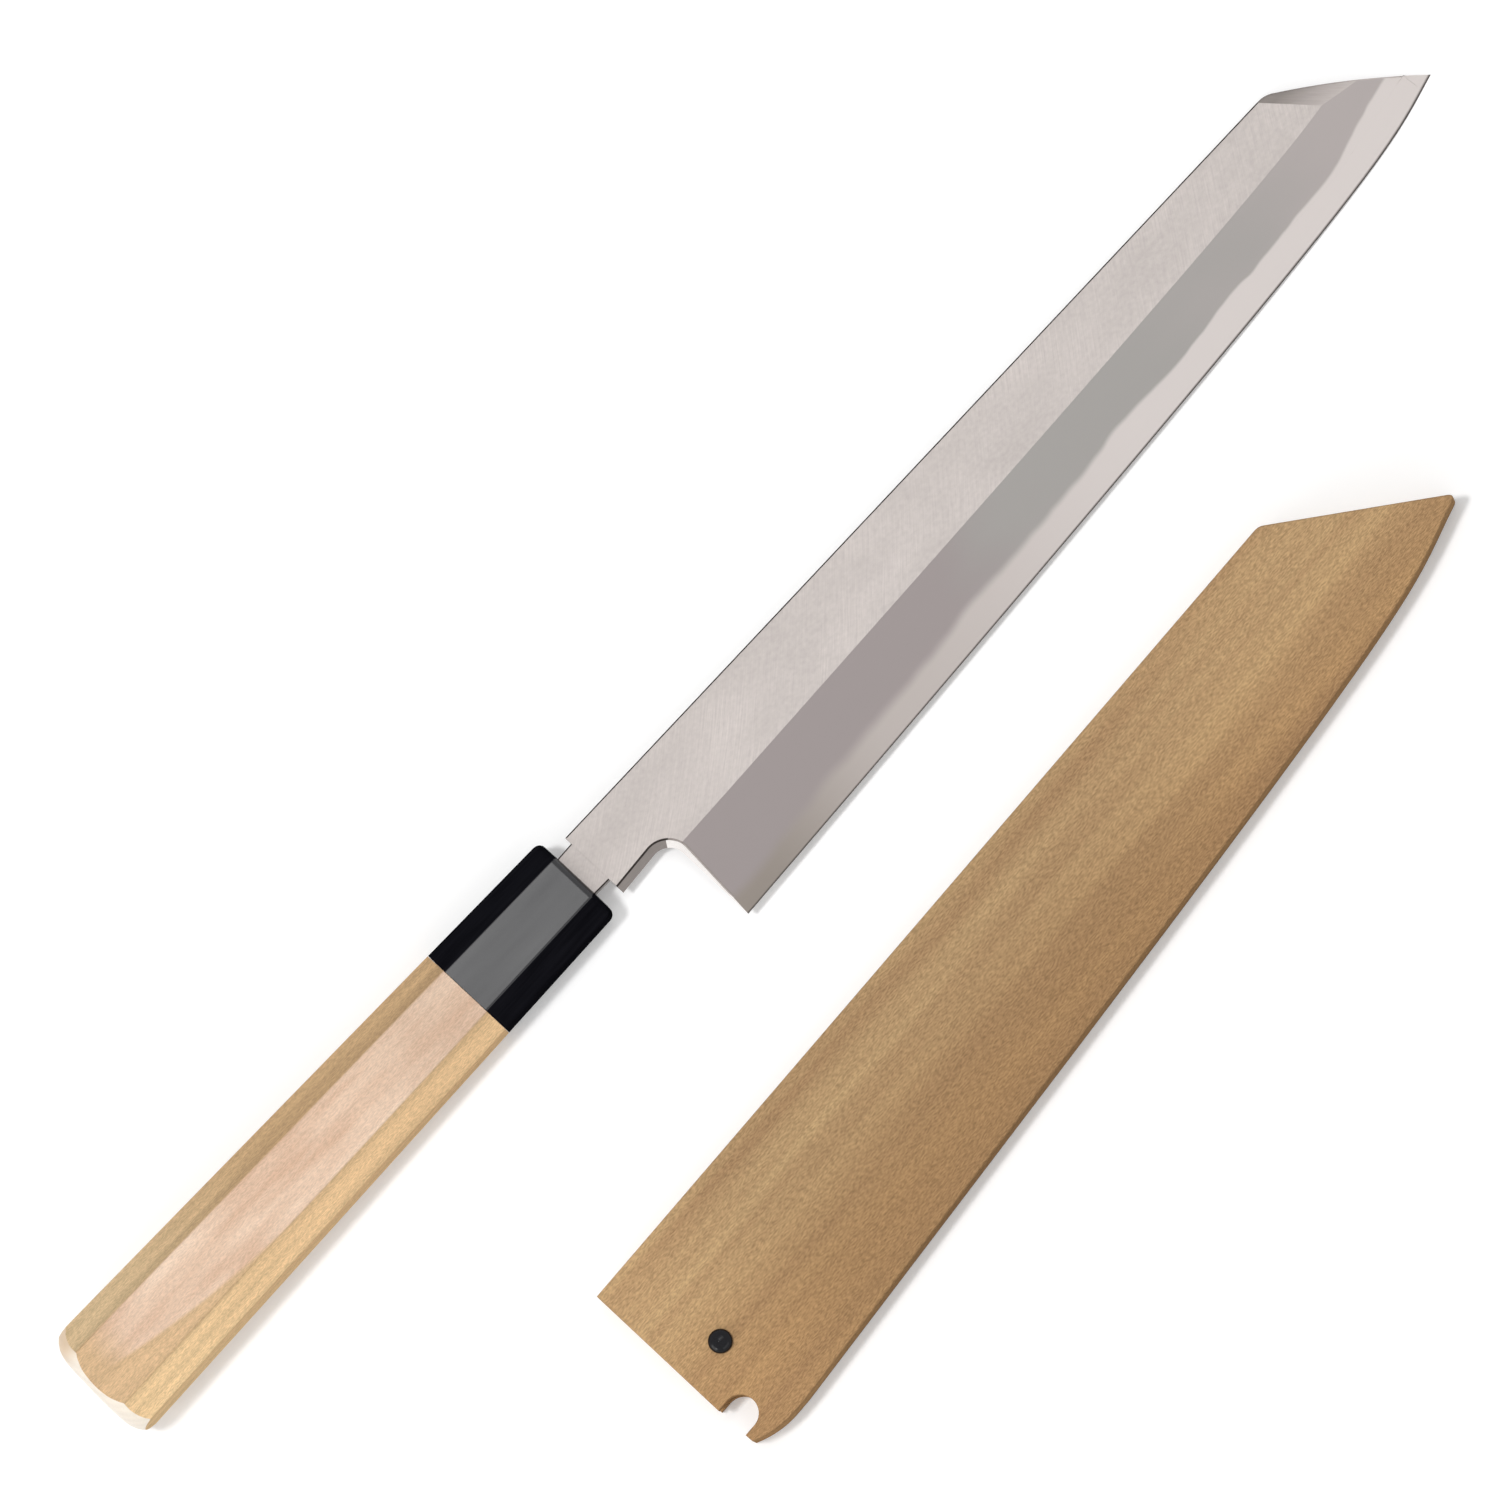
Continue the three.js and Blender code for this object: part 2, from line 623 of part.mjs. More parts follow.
// The knife lies on its tip and on whichever end of the handle reaches lower
function restPitch() {
  const point = { x: bladeLength, z: -spineThickness / 2 };
  const ends = [
    { x: ferruleFront - ferruleRound, z: octagon(ferruleFront, 0)[5].z },
    { x: butt + buttDrop, z: octagon(butt, 0)[5].z },
  ];
  return Math.max(...ends.map((end) => Math.atan2(point.z - end.z, point.x - end.x)));
}

const blade = makeBlade();
const knife = new THREE.Group();
knife.add(
  piece('blade_iron', blade.iron, ironSurface),
  piece('edge_steel', blade.steel, steelSurface),
  piece('ferrule', makeFerrule(), hornSurface),
  piece('handle', makeHandle(), handleWoodSurface),
);
knife.rotation.y = restPitch();
knife.position.z = -new THREE.Box3().setFromObject(knife, true).min.z;

const spacers = makeSpacers();
const frontBoardLow = boardThickness + spacerThickness + 2 * glueLine;
const saya = new THREE.Group();
saya.add(
  piece('saya_back_board', makeBoard(0, false), sayaWoodSurface),
  piece('saya_spine_strip', spacers.spine, sayaWoodSurface),
  piece('saya_edge_strip', spacers.edge, sayaWoodSurface),
  piece('saya_front_board', makeBoard(frontBoardLow, true), sayaWoodSurface),
  piece('saya_pin', makePin(), pinSurface),
);
saya.rotation.z = THREE.MathUtils.degToRad(sayaTurn);
const mouthCorner = new THREE.Vector3(mouthSetback, sayaTop, 0).applyEuler(saya.rotation);
saya.position.set(sayaLieX - mouthCorner.x, sayaLieY - mouthCorner.y, 0);

// The origin is the middle of the footprint, on the surface that knife and saya lie on
const part = new THREE.Group();
part.add(knife, saya);
const bounds = new THREE.Box3().setFromObject(part, true);
const middle = bounds.getCenter(new THREE.Vector3());
part.position.set(-middle.x, -middle.y, -bounds.min.z);

export default part;
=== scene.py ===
# Kiritsuke knife lying beside its saya: meshes, materials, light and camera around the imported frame.
# Places are in metres in the frame's own axes. Patterns are in millimetres, in the knife's frame
# (machi at zero, +X to the tip, +Y to the spine) or in the saya's (pin at zero, +X to its tip).

import math

import bmesh
import bpy
from mathutils import Euler, Matrix, Vector


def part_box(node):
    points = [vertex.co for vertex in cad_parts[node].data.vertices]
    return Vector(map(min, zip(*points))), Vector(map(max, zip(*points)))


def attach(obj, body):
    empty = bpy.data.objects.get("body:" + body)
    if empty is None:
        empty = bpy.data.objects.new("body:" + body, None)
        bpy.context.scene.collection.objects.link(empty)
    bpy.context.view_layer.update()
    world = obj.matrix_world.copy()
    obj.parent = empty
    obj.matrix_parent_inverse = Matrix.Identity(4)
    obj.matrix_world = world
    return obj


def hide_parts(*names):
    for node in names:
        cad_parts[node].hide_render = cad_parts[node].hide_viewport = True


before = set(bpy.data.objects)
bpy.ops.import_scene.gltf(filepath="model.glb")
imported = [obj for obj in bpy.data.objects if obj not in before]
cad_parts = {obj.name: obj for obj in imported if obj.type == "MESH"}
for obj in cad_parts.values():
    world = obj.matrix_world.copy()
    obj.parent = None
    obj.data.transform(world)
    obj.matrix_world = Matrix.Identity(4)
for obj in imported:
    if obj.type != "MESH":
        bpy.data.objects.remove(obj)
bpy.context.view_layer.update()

MM = 0.001

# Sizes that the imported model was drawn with, in millimetres and degrees
BLADE_LENGTH = 240
HEEL_SETBACK = 14.6
NECK_END = 1
CLIP_START = 211                        # where the spine ends and the clipped tip begins
SPINE_THICKNESS = 3.6
STEEL_HEEL = 0.8                        # thickness of the steel at the heel and at the tip
STEEL_TIP = 0.55
STEEL_CROWN = 0.32                      # and what it has more halfway
STEEL_WAVE = 0.06
STEEL_WAVE_LENGTH = 45
STEEL_WAVE_CREST = 140
WELD_LINE = 0.06                        # gap that stands for the forge weld between iron and steel
HANDLE_TOP = 7.99                       # upper facet of the handle over the machi
HANDLE_TAPER = 0.02586                  # and its rise towards the butt
HANDLE_BUTT = -151.2
SOCKET_REACH = 7.5                      # the sockets inside handle and ferrule stay within this of the axis
REST_PITCH = math.radians(1.4835)       # the knife lies on its tip and on the handle's lower facet
SAYA_TURN = math.radians(2.4)
PIN_TIP_DIAMETER = 3.2
PIN_DIAMETER = 3.6
PIN_HEAD_HEIGHT = 1.9
PIN_HEAD_SEAT = 0.5

# Finish of the edges, in millimetres
BLADE_EASE = 0.3
HANDLE_EASE = 0.3
FERRULE_EASE = 0.35
PIN_EASE = 0.25
EASE_STEPS = 3

# The photograph's view: 6 degrees off straight down, through a long lens
IMAGE_SIZE = 1500
PIXEL = 0.2085                          # millimetres at the height of the handle's axis
VIEW_TILT = math.radians(6)
VIEW_TURN = math.radians(46.96)         # how far the knife's length stands up from the image's base
VIEW_CENTRE = (39.8, -8.0)              # image centre from the machi, along the knife and across it
CAMERA_DISTANCE = 4.0                   # metres
CAMERA_REACH = 50
SENSOR = 36.0

# Frames of the two things that lie on the floor

steel_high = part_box("edge_steel")[1]
handle_low, handle_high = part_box("handle")
pin_low, pin_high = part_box("saya_pin")

knife_turn = Euler((0, REST_PITCH, 0))
saya_turn = Euler((0, 0, SAYA_TURN))
to_knife = knife_turn.to_matrix().transposed()
machi = Vector((
    steel_high.x - BLADE_LENGTH * MM * math.cos(REST_PITCH),
    (handle_low.y + handle_high.y) / 2,
    (BLADE_LENGTH * math.sin(REST_PITCH) + SPINE_THICKNESS / 2) * MM,
))
pin_foot = Vector(((pin_low.x + pin_high.x) / 2, (pin_low.y + pin_high.y) / 2, 0))

# Materials

MIX_A, MIX_B, MIX_OUT = 6, 7, 2         # colour sockets of a Mix node
NOISE_MEAN = 0.5
WOOD_IOR = 1.5
HORN_IOR = 1.54
LACQUER_IOR = 1.5


def srgb(colour):
    """An sRGB hex colour as linear RGBA."""
    channels = [int(colour[i:i + 2], 16) / 255 for i in (1, 3, 5)]
    linear = [c / 12.92 if c <= 0.04045 else ((c + 0.055) / 1.055) ** 2.4 for c in channels]
    return (*linear, 1.0)


def add(material, kind, inputs, **settings):
    """Adds a node with its settings, fills or links its inputs, and gives back its outputs."""
    node = material.node_tree.nodes.new(kind)
    for name, value in settings.items():
        setattr(node, name, value)
    for socket, value in inputs.items():
        if isinstance(value, bpy.types.NodeSocket):
            material.node_tree.links.new(value, node.inputs[socket])
        else:
            node.inputs[socket].default_value = value
    return node.outputs


def start_material(name, origin, turn):
    """An empty material, and the place on it in millimetres in a piece's own frame."""
    material = bpy.data.materials.new(name)
    material.use_nodes = True
    material.node_tree.nodes.clear()
    place = add(material, "ShaderNodeMapping", {
        "Vector": add(material, "ShaderNodeTexCoord", {})["Object"],
        "Location": origin, "Rotation": turn, "Scale": (MM, MM, MM),
    }, vector_type="TEXTURE")[0]
    return material, place


def ground_iron():
    """Soft iron ground flat on a large wheel: satin grey, with faint curved scratches in loose sheaves."""
    material, place = start_material("ground_iron", machi, knife_turn)
    wheel_centre = (-141, 235, 0)
    scratch = (0.3, 9, 1)               # about twice as wide as real scratches, so that they show
    sheaf = (26, 11, 11)
    mottle = (1.1, 0.8, 0.8)
    level = add(material, "ShaderNodeVectorMath", {0: place, 1: (1, 1, 0)}, operation="MULTIPLY")[0]
    arm = add(material, "ShaderNodeVectorMath", {0: level, 1: wheel_centre}, operation="SUBTRACT")[0]
    radius = add(material, "ShaderNodeVectorMath", {0: arm}, operation="LENGTH")["Value"]
    parts = add(material, "ShaderNodeSeparateXYZ", {0: arm})
    angle = add(material, "ShaderNodeMath", {0: parts[1], 1: parts[0]}, operation="ARCTAN2")[0]
    sweep = add(material, "ShaderNodeMath", {0: angle, 1: radius}, operation="MULTIPLY")[0]
    polar = add(material, "ShaderNodeCombineXYZ", {0: radius, 1: sweep})[0]
    fine = add(material, "ShaderNodeMapping", {"Vector": polar, "Scale": scratch}, vector_type="TEXTURE")[0]
    scratches = add(material, "ShaderNodeTexNoise", {"Vector": fine, "Scale": 1, "Detail": 3})[0]
    broad = add(material, "ShaderNodeMapping", {"Vector": place, "Scale": sheaf}, vector_type="TEXTURE")[0]
    sheaves = add(material, "ShaderNodeTexNoise", {"Vector": broad, "Scale": 1, "Detail": 2})[0]
    depth = add(material, "ShaderNodeMapRange", {
        0: sheaves, "From Min": 0.35, "From Max": 0.65, "To Min": 0.15, "To Max": 1.0,
    })[0]
    lifted = add(material, "ShaderNodeMath", {0: scratches, 1: NOISE_MEAN}, operation="SUBTRACT")[0]
    line = add(material, "ShaderNodeMath", {0: lifted, 1: depth}, operation="MULTIPLY")[0]
    share = add(material, "ShaderNodeMapRange", {0: line, "From Min": -0.18, "From Max": 0.18})[0]
    tone = add(material, "ShaderNodeMix", {
        0: share, MIX_A: srgb("#a7a09d"), MIX_B: srgb("#b8b1ad"),
    }, data_type="RGBA")[MIX_OUT]
    mottled = add(material, "ShaderNodeMapping", {
        "Vector": place, "Scale": mottle,
    }, vector_type="TEXTURE")[0]
    spots = add(material, "ShaderNodeTexNoise", {"Vector": mottled, "Scale": 1, "Detail": 3})[0]
    spotted = add(material, "ShaderNodeMath", {0: sheaves, 1: spots}, operation="ADD")[0]
    shade = add(material, "ShaderNodeMapRange", {
        0: spotted, "From Min": 0.6, "From Max": 1.4, "To Min": 0.89, "To Max": 1.11,
    })[0]
    colour = add(material, "ShaderNodeVectorMath", {0: tone, "Scale": shade}, operation="SCALE")[0]
    gloss = add(material, "ShaderNodeMapRange", {0: share, "To Min": 0.4, "To Max": 0.48})[0]
    bump = add(material, "ShaderNodeBump", {"Height": line, "Strength": 0.2, "Distance": 0.02 * MM})[0]
    surface = add(material, "ShaderNodeBsdfPrincipled", {
        "Base Color": colour, "Metallic": 1.0, "Roughness": gloss, "Normal": bump,
    })[0]
    add(material, "ShaderNodeOutputMaterial", {"Surface": surface})
    return material


def misty_bevel():
    """Bevel rubbed on stones: dull misty iron, and hard steel below the weld that brightens to the tip."""
    material, place = start_material("misty_bevel", machi, knife_turn)
    parts = add(material, "ShaderNodeSeparateXYZ", {0: place})
    along = parts[0]
    height = add(material, "ShaderNodeMath", {0: parts[2], 1: SPINE_THICKNESS / 2}, operation="ADD")[0]

    # Height of the weld above the back: the plate's thickness, hammered waves, and small uneven steps
    step = (11, 40, 40)
    step_height = 0.07
    tip_start, tip_lift = 180, 0.3      # the weld climbs towards the tip
    crisp_start, crisp_end = 50, 165    # and its line grows crisp between these places
    soft_line, crisp_line = 0.28, 0.045
    plate = add(material, "ShaderNodeMapRange", {
        0: along, "From Min": HEEL_SETBACK, "From Max": BLADE_LENGTH,
    })[0]
    # The thickness runs straight from heel to tip, plus a crown that is highest halfway
    rise = add(material, "ShaderNodeMath", {
        0: plate, 1: -4 * STEEL_CROWN, 2: 4 * STEEL_CROWN + STEEL_TIP - STEEL_HEEL,
    }, operation="MULTIPLY_ADD")[0]
    even = add(material, "ShaderNodeMath", {0: plate, 1: rise, 2: STEEL_HEEL}, operation="MULTIPLY_ADD")[0]
    crest = add(material, "ShaderNodeMath", {0: along, 1: STEEL_WAVE_CREST}, operation="SUBTRACT")[0]
    phase = add(material, "ShaderNodeMath", {
        0: crest, 1: 2 * math.pi / STEEL_WAVE_LENGTH,
    }, operation="MULTIPLY")[0]
    wave = add(material, "ShaderNodeMath", {0: phase}, operation="COSINE")[0]
    weld = add(material, "ShaderNodeMath", {0: wave, 1: STEEL_WAVE, 2: even}, operation="MULTIPLY_ADD")[0]
    stepped = add(material, "ShaderNodeMapping", {"Vector": place, "Scale": step}, vector_type="TEXTURE")[0]
    uneven = add(material, "ShaderNodeTexNoise", {"Vector": stepped, "Scale": 1, "Detail": 1.5})[0]
    ragged = add(material, "ShaderNodeMapRange", {
        0: uneven, "From Min": 0.25, "From Max": 0.75, "To Min": -step_height, "To Max": step_height,
    })[0]
    tip_rise = add(material, "ShaderNodeMapRange", {
        0: along, "From Min": tip_start, "From Max": BLADE_LENGTH, "To Max": tip_lift,
    }, interpolation_type="SMOOTHSTEP")[0]
    stepped_line = add(material, "ShaderNodeMath", {0: weld, 1: ragged}, operation="ADD")[0]
    line = add(material, "ShaderNodeMath", {0: stepped_line, 1: tip_rise}, operation="ADD")[0]
    above = add(material, "ShaderNodeMath", {0: height, 1: line}, operation="SUBTRACT")[0]
    softness = add(material, "ShaderNodeMapRange", {
        0: along, "From Min": crisp_start, "From Max": crisp_end, "To Min": soft_line, "To Max": crisp_line,
    })[0]
    spread = add(material, "ShaderNodeMath", {0: above, 1: softness}, operation="DIVIDE")[0]
    iron_share = add(material, "ShaderNodeMapRange", {
        0: spread, "From Min": -1, "From Max": 1,
    }, interpolation_type="SMOOTHSTEP")[0]

    # Iron: purplish at the heel, greenish grey halfway, lighter at the tip, with soft clouds
    cloud = (40, 22, 22)
    cloud_drift = 60
    green_start, green_end = 115, 160
    light_start, light_end = 180, 255
    clouded = add(material, "ShaderNodeMapping", {
        "Vector": place, "Scale": cloud,
    }, vector_type="TEXTURE")[0]
    clouds = add(material, "ShaderNodeTexNoise", {"Vector": clouded, "Scale": 1, "Detail": 2})[0]
    drift = add(material, "ShaderNodeMath", {
        0: clouds, 1: cloud_drift, 2: along,
    }, operation="MULTIPLY_ADD")[0]
    middle = add(material, "ShaderNodeMapRange", {
        0: drift, "From Min": green_start, "From Max": green_end,
    }, interpolation_type="SMOOTHSTEP")[0]
    end = add(material, "ShaderNodeMapRange", {
        0: drift, "From Min": light_start, "From Max": light_end,
    }, interpolation_type="SMOOTHSTEP")[0]
    heel_iron = add(material, "ShaderNodeMix", {
        0: middle, MIX_A: srgb("#978f8e"), MIX_B: srgb("#9b9895"),
    }, data_type="RGBA")[MIX_OUT]
    iron = add(material, "ShaderNodeMix", {
        0: end, MIX_A: heel_iron, MIX_B: srgb("#a69f9d"),
    }, data_type="RGBA")[MIX_OUT]

    # Steel: duller than the iron at the heel, bright from halfway on
    dull_start, dull_end = 20, 65
    bright_start, bright_end = 55, 150
    dull_share = add(material, "ShaderNodeMapRange", {
        0: along, "From Min": dull_start, "From Max": dull_end,
    }, interpolation_type="SMOOTHSTEP")[0]
    bright_share = add(material, "ShaderNodeMapRange", {
        0: along, "From Min": bright_start, "From Max": bright_end,
    }, interpolation_type="SMOOTHSTEP")[0]
    heel_steel = add(material, "ShaderNodeMix", {
        0: dull_share, MIX_A: srgb("#8e867f"), MIX_B: srgb("#b0a8a4"),
    }, data_type="RGBA")[MIX_OUT]
    steel = add(material, "ShaderNodeMix", {
        0: bright_share, MIX_A: heel_steel, MIX_B: srgb("#c4bdba"),
    }, data_type="RGBA")[MIX_OUT]
    both = add(material, "ShaderNodeMix", {
        0: iron_share, MIX_A: steel, MIX_B: iron,
    }, data_type="RGBA")[MIX_OUT]

    # Painted shade: a thin dark line along the honed edge stands in for its unlit micro bevel and the tight
    # shadow beside it
    edge_shade_low, edge_shade_high = 0.08, 0.13
    painted_edge_shade = add(material, "ShaderNodeMapRange", {0: height, "From Min": edge_shade_low, "From Max": edge_shade_high})[0]
    colour = add(material, "ShaderNodeMix", {
        0: painted_edge_shade, MIX_A: srgb("#45403d"), MIX_B: both,
    }, data_type="RGBA")[MIX_OUT]
    grit = (0.5, 0.5, 0.5)              # coarser than stone slurry leaves, so that it shows
    rubbed = add(material, "ShaderNodeMapping", {"Vector": place, "Scale": grit}, vector_type="TEXTURE")[0]
    slurry = add(material, "ShaderNodeTexNoise", {"Vector": rubbed, "Scale": 1, "Detail": 3})[0]
    gloss = add(material, "ShaderNodeMapRange", {0: iron_share, "To Min": 0.42, "To Max": 0.5})[0]
    bump = add(material, "ShaderNodeBump", {"Height": slurry, "Strength": 0.12, "Distance": 0.01 * MM})[0]
    surface = add(material, "ShaderNodeBsdfPrincipled", {
        "Base Color": colour, "Metallic": 1.0, "Roughness": gloss, "Normal": bump,
    })[0]
    add(material, "ShaderNodeOutputMaterial", {"Surface": surface})
    return material


def tip_facet():
    """The narrow facet along the clipped tip, ground across: painted shade darkens it to grey where it
    meets the spine.
    """
    material, place = start_material("tip_facet_iron", machi, knife_turn)
    streak = (4, 0.35, 0.35)
    clip_turn = math.radians(-47)
    light_side, dark_side = -6, 5
    drawn = add(material, "ShaderNodeMapping", {
        "Vector": place, "Rotation": (0, 0, clip_turn), "Scale": streak,
    }, vector_type="TEXTURE")[0]
    streaks = add(material, "ShaderNodeTexNoise", {"Vector": drawn, "Scale": 1, "Detail": 3})[0]
    across = add(material, "ShaderNodeSeparateXYZ", {0: place})[1]
    # painted shade: the flat facet is darkened towards the spine, as a facet that rounds over would be
    # shaded
    shade_toward_spine = add(material, "ShaderNodeMapRange", {
        0: across, "From Min": light_side, "From Max": dark_side,
    })[0]
    tone = add(material, "ShaderNodeMix", {
        0: shade_toward_spine, MIX_A: srgb("#bab2af"), MIX_B: srgb("#7f7975"),
    }, data_type="RGBA")[MIX_OUT]
    shade = add(material, "ShaderNodeMapRange", {0: streaks, "To Min": 0.85, "To Max": 1.15})[0]
    colour = add(material, "ShaderNodeVectorMath", {0: tone, "Scale": shade}, operation="SCALE")[0]
    gloss = add(material, "ShaderNodeMapRange", {0: streaks, "To Min": 0.4, "To Max": 0.5})[0]
    surface = add(material, "ShaderNodeBsdfPrincipled", {
        "Base Color": colour, "Metallic": 1.0, "Roughness": gloss,
    })[0]
    add(material, "ShaderNodeOutputMaterial", {"Surface": surface})
    return material


def drawn_steel(name, dark, light, streak, low, high):
    """Steel drawn over a belt, wheel or stone: fine streaks of two greys, roughness from low to high."""
    material, place = start_material(name, machi, knife_turn)
    drawn = add(material, "ShaderNodeMapping", {"Vector": place, "Scale": streak}, vector_type="TEXTURE")[0]
    streaks = add(material, "ShaderNodeTexNoise", {"Vector": drawn, "Scale": 1, "Detail": 3})[0]
    colour = add(material, "ShaderNodeMix", {
        0: streaks, MIX_A: srgb(dark), MIX_B: srgb(light),
    }, data_type="RGBA")[MIX_OUT]
    gloss = add(material, "ShaderNodeMapRange", {0: streaks, "To Min": low, "To Max": high})[0]
    bump = add(material, "ShaderNodeBump", {"Height": streaks, "Strength": 0.12, "Distance": 0.01 * MM})[0]
    surface = add(material, "ShaderNodeBsdfPrincipled", {
        "Base Color": colour, "Metallic": 1.0, "Roughness": gloss, "Normal": bump,
    })[0]
    add(material, "ShaderNodeOutputMaterial", {"Surface": surface})
    return material


def wood_figure(material, place, pale, deep, band, contrast):
    """Magnolia's figure: soft lengthwise bands between two colours, and short fine flecks."""
    fleck = (1.05, 0.25, 0.25)          # a little wider than real pores, so that they show
    banded = add(material, "ShaderNodeMapping", {"Vector": place, "Scale": band}, vector_type="TEXTURE")[0]
    bands = add(material, "ShaderNodeTexNoise", {"Vector": banded, "Scale": 1, "Detail": 3})[0]
    band_share = add(material, "ShaderNodeMapRange", {0: bands, "From Min": 0.3, "From Max": 0.7})[0]
    body = add(material, "ShaderNodeMix", {
        0: band_share, MIX_A: pale, MIX_B: deep,
    }, data_type="RGBA")[MIX_OUT]
    flecked = add(material, "ShaderNodeMapping", {
        "Vector": place, "Scale": fleck,
    }, vector_type="TEXTURE")[0]
    flecks = add(material, "ShaderNodeTexNoise", {
        "Vector": flecked, "Scale": 1, "Detail": 2, "Roughness": 0.7,
    })[0]
    shade = add(material, "ShaderNodeMapRange", {
        0: flecks, "From Min": 0.34, "From Max": 0.66, "To Min": 1 - contrast, "To Max": 1 + contrast,
    })[0]
    colour = add(material, "ShaderNodeVectorMath", {0: body, "Scale": shade}, operation="SCALE")[0]
    return colour, flecks


def handle_magnolia(name, level):
    """Bare magnolia with painted light: golden towards the edge and browner towards the spine, lighter
    towards the butt, and a painted sheen on the upper facet.
    """
    material, place = start_material(name, machi, knife_turn)
    parts = add(material, "ShaderNodeSeparateXYZ", {0: place})
    along, across, up = parts[0], parts[1], parts[2]
    lit_side, shaded_side = -6, 8
    bend = -85                          # the colours change from here to the butt
    butt_gold = -145
    facet_under, facet_top = 0.3, 0.05  # the upper facet's colour fades between these depths below it
    deep_share = 0.78
    # painted light and shade: the facets towards the edge are painted golden and lighter, those towards the
    # spine browner and darker
    painted_side_shade = add(material, "ShaderNodeMapRange", {
        0: across, "From Min": lit_side, "From Max": shaded_side,
    }, interpolation_type="SMOOTHSTEP")[0]
    # painted light: the sides grow lighter from the bend to the butt
    to_butt = add(material, "ShaderNodeMapRange", {
        0: along, "From Min": bend, "From Max": butt_gold,
    }, interpolation_type="SMOOTHSTEP")[0]
    rise = add(material, "ShaderNodeMath", {0: along, 1: HANDLE_TAPER, 2: up}, operation="MULTIPLY_ADD")[0]
    below = add(material, "ShaderNodeMath", {0: HANDLE_TOP, 1: rise}, operation="SUBTRACT")[0]
    on_facet = add(material, "ShaderNodeMapRange", {
        0: below, "From Min": facet_under, "From Max": facet_top,
    })[0]
    golden = add(material, "ShaderNodeMath", {
        0: to_butt, 1: on_facet,
    }, operation="SUBTRACT", use_clamp=True)[0]
    gold = add(material, "ShaderNodeMix", {
        0: golden, MIX_A: srgb("#f1cc9d"), MIX_B: srgb("#fad7a6"),
    }, data_type="RGBA")[MIX_OUT]
    brown = add(material, "ShaderNodeMix", {
        0: golden, MIX_A: srgb("#cdab82"), MIX_B: srgb("#e5c89e"),
    }, data_type="RGBA")[MIX_OUT]
    side = add(material, "ShaderNodeMix", {0: painted_side_shade, MIX_A: gold, MIX_B: brown}, data_type="RGBA")[MIX_OUT]
    pale = add(material, "ShaderNodeMix", {
        0: on_facet, MIX_A: side, MIX_B: srgb("#d9b68c"),
    }, data_type="RGBA")[MIX_OUT]
    deep = add(material, "ShaderNodeVectorMath", {0: pale, "Scale": deep_share}, operation="SCALE")[0]

    # Painted sheen on the upper facet: it narrows in a curve towards the butt and fades out before it
    narrowing, facet_side = 0.00205, -7.4
    soft_outside, soft_inside = -0.5, 0.7
    fade_end, fade_start = -147, -136
    run = add(material, "ShaderNodeMath", {0: bend, 1: along}, operation="SUBTRACT")[0]
    past = add(material, "ShaderNodeMath", {0: run, 1: 0}, operation="MAXIMUM")[0]
    square = add(material, "ShaderNodeMath", {0: past, 1: past}, operation="MULTIPLY")[0]
    margin = add(material, "ShaderNodeMath", {
        0: square, 1: narrowing, 2: facet_side,
    }, operation="MULTIPLY_ADD")[0]
    inside = add(material, "ShaderNodeMath", {0: across, 1: margin}, operation="SUBTRACT")[0]
    # how far the painted sheen reaches across the facet towards the edge side
    rubbed = add(material, "ShaderNodeMapRange", {
        0: inside, "From Min": soft_outside, "From Max": soft_inside,
    }, interpolation_type="SMOOTHSTEP")[0]
    ends = add(material, "ShaderNodeMapRange", {
        0: along, "From Min": fade_end, "From Max": fade_start,
    }, interpolation_type="SMOOTHSTEP")[0]
    both = add(material, "ShaderNodeMath", {0: on_facet, 1: rubbed}, operation="MULTIPLY")[0]
    painted_sheen = add(material, "ShaderNodeMath", {0: both, 1: ends}, operation="MULTIPLY")[0]

    # A browner line runs along the edges of the upper facet, and a darker line along the outer edge of the
    # painted sheen
    line_depth, line_shade = 1.8, 0.84
    border_offset, ring_or_line_width, border_shade = 0.5, 0.7, 0.93
    full_shade = 0.1                    # both are darkest within this of their middle
    edge_line = add(material, "ShaderNodeMapRange", {
        0: below, "From Min": full_shade, "From Max": line_depth, "To Min": line_shade, "To Max": 1.0,
    })[0]
    from_sheen_border = add(material, "ShaderNodeMath", {0: inside, 1: border_offset}, operation="ADD")[0]
    off_sheen_border = add(material, "ShaderNodeMath", {0: from_sheen_border}, operation="ABSOLUTE")[0]
    sheen_border_line = add(material, "ShaderNodeMapRange", {
        0: off_sheen_border, "From Min": full_shade, "From Max": ring_or_line_width, "To Min": border_shade, "To Max": 1.0,
    })[0]
    facet_shade = add(material, "ShaderNodeMath", {0: sheen_border_line, 1: on_facet}, operation="MULTIPLY")[0]
    lit = add(material, "ShaderNodeMath", {0: edge_line, 1: facet_shade}, operation="MAXIMUM")[0]
    colour, flecks = wood_figure(material, place, pale, deep, band=(60, 1.8, 1.8), contrast=0.17)
    edged = add(material, "ShaderNodeVectorMath", {0: colour, "Scale": lit}, operation="SCALE")[0]
    sheen_tone, sheen_flecks = wood_figure(
        material, place, srgb("#e7ccb4"), srgb("#d2af94"), band=(24, 4, 4), contrast=0.13,
    )
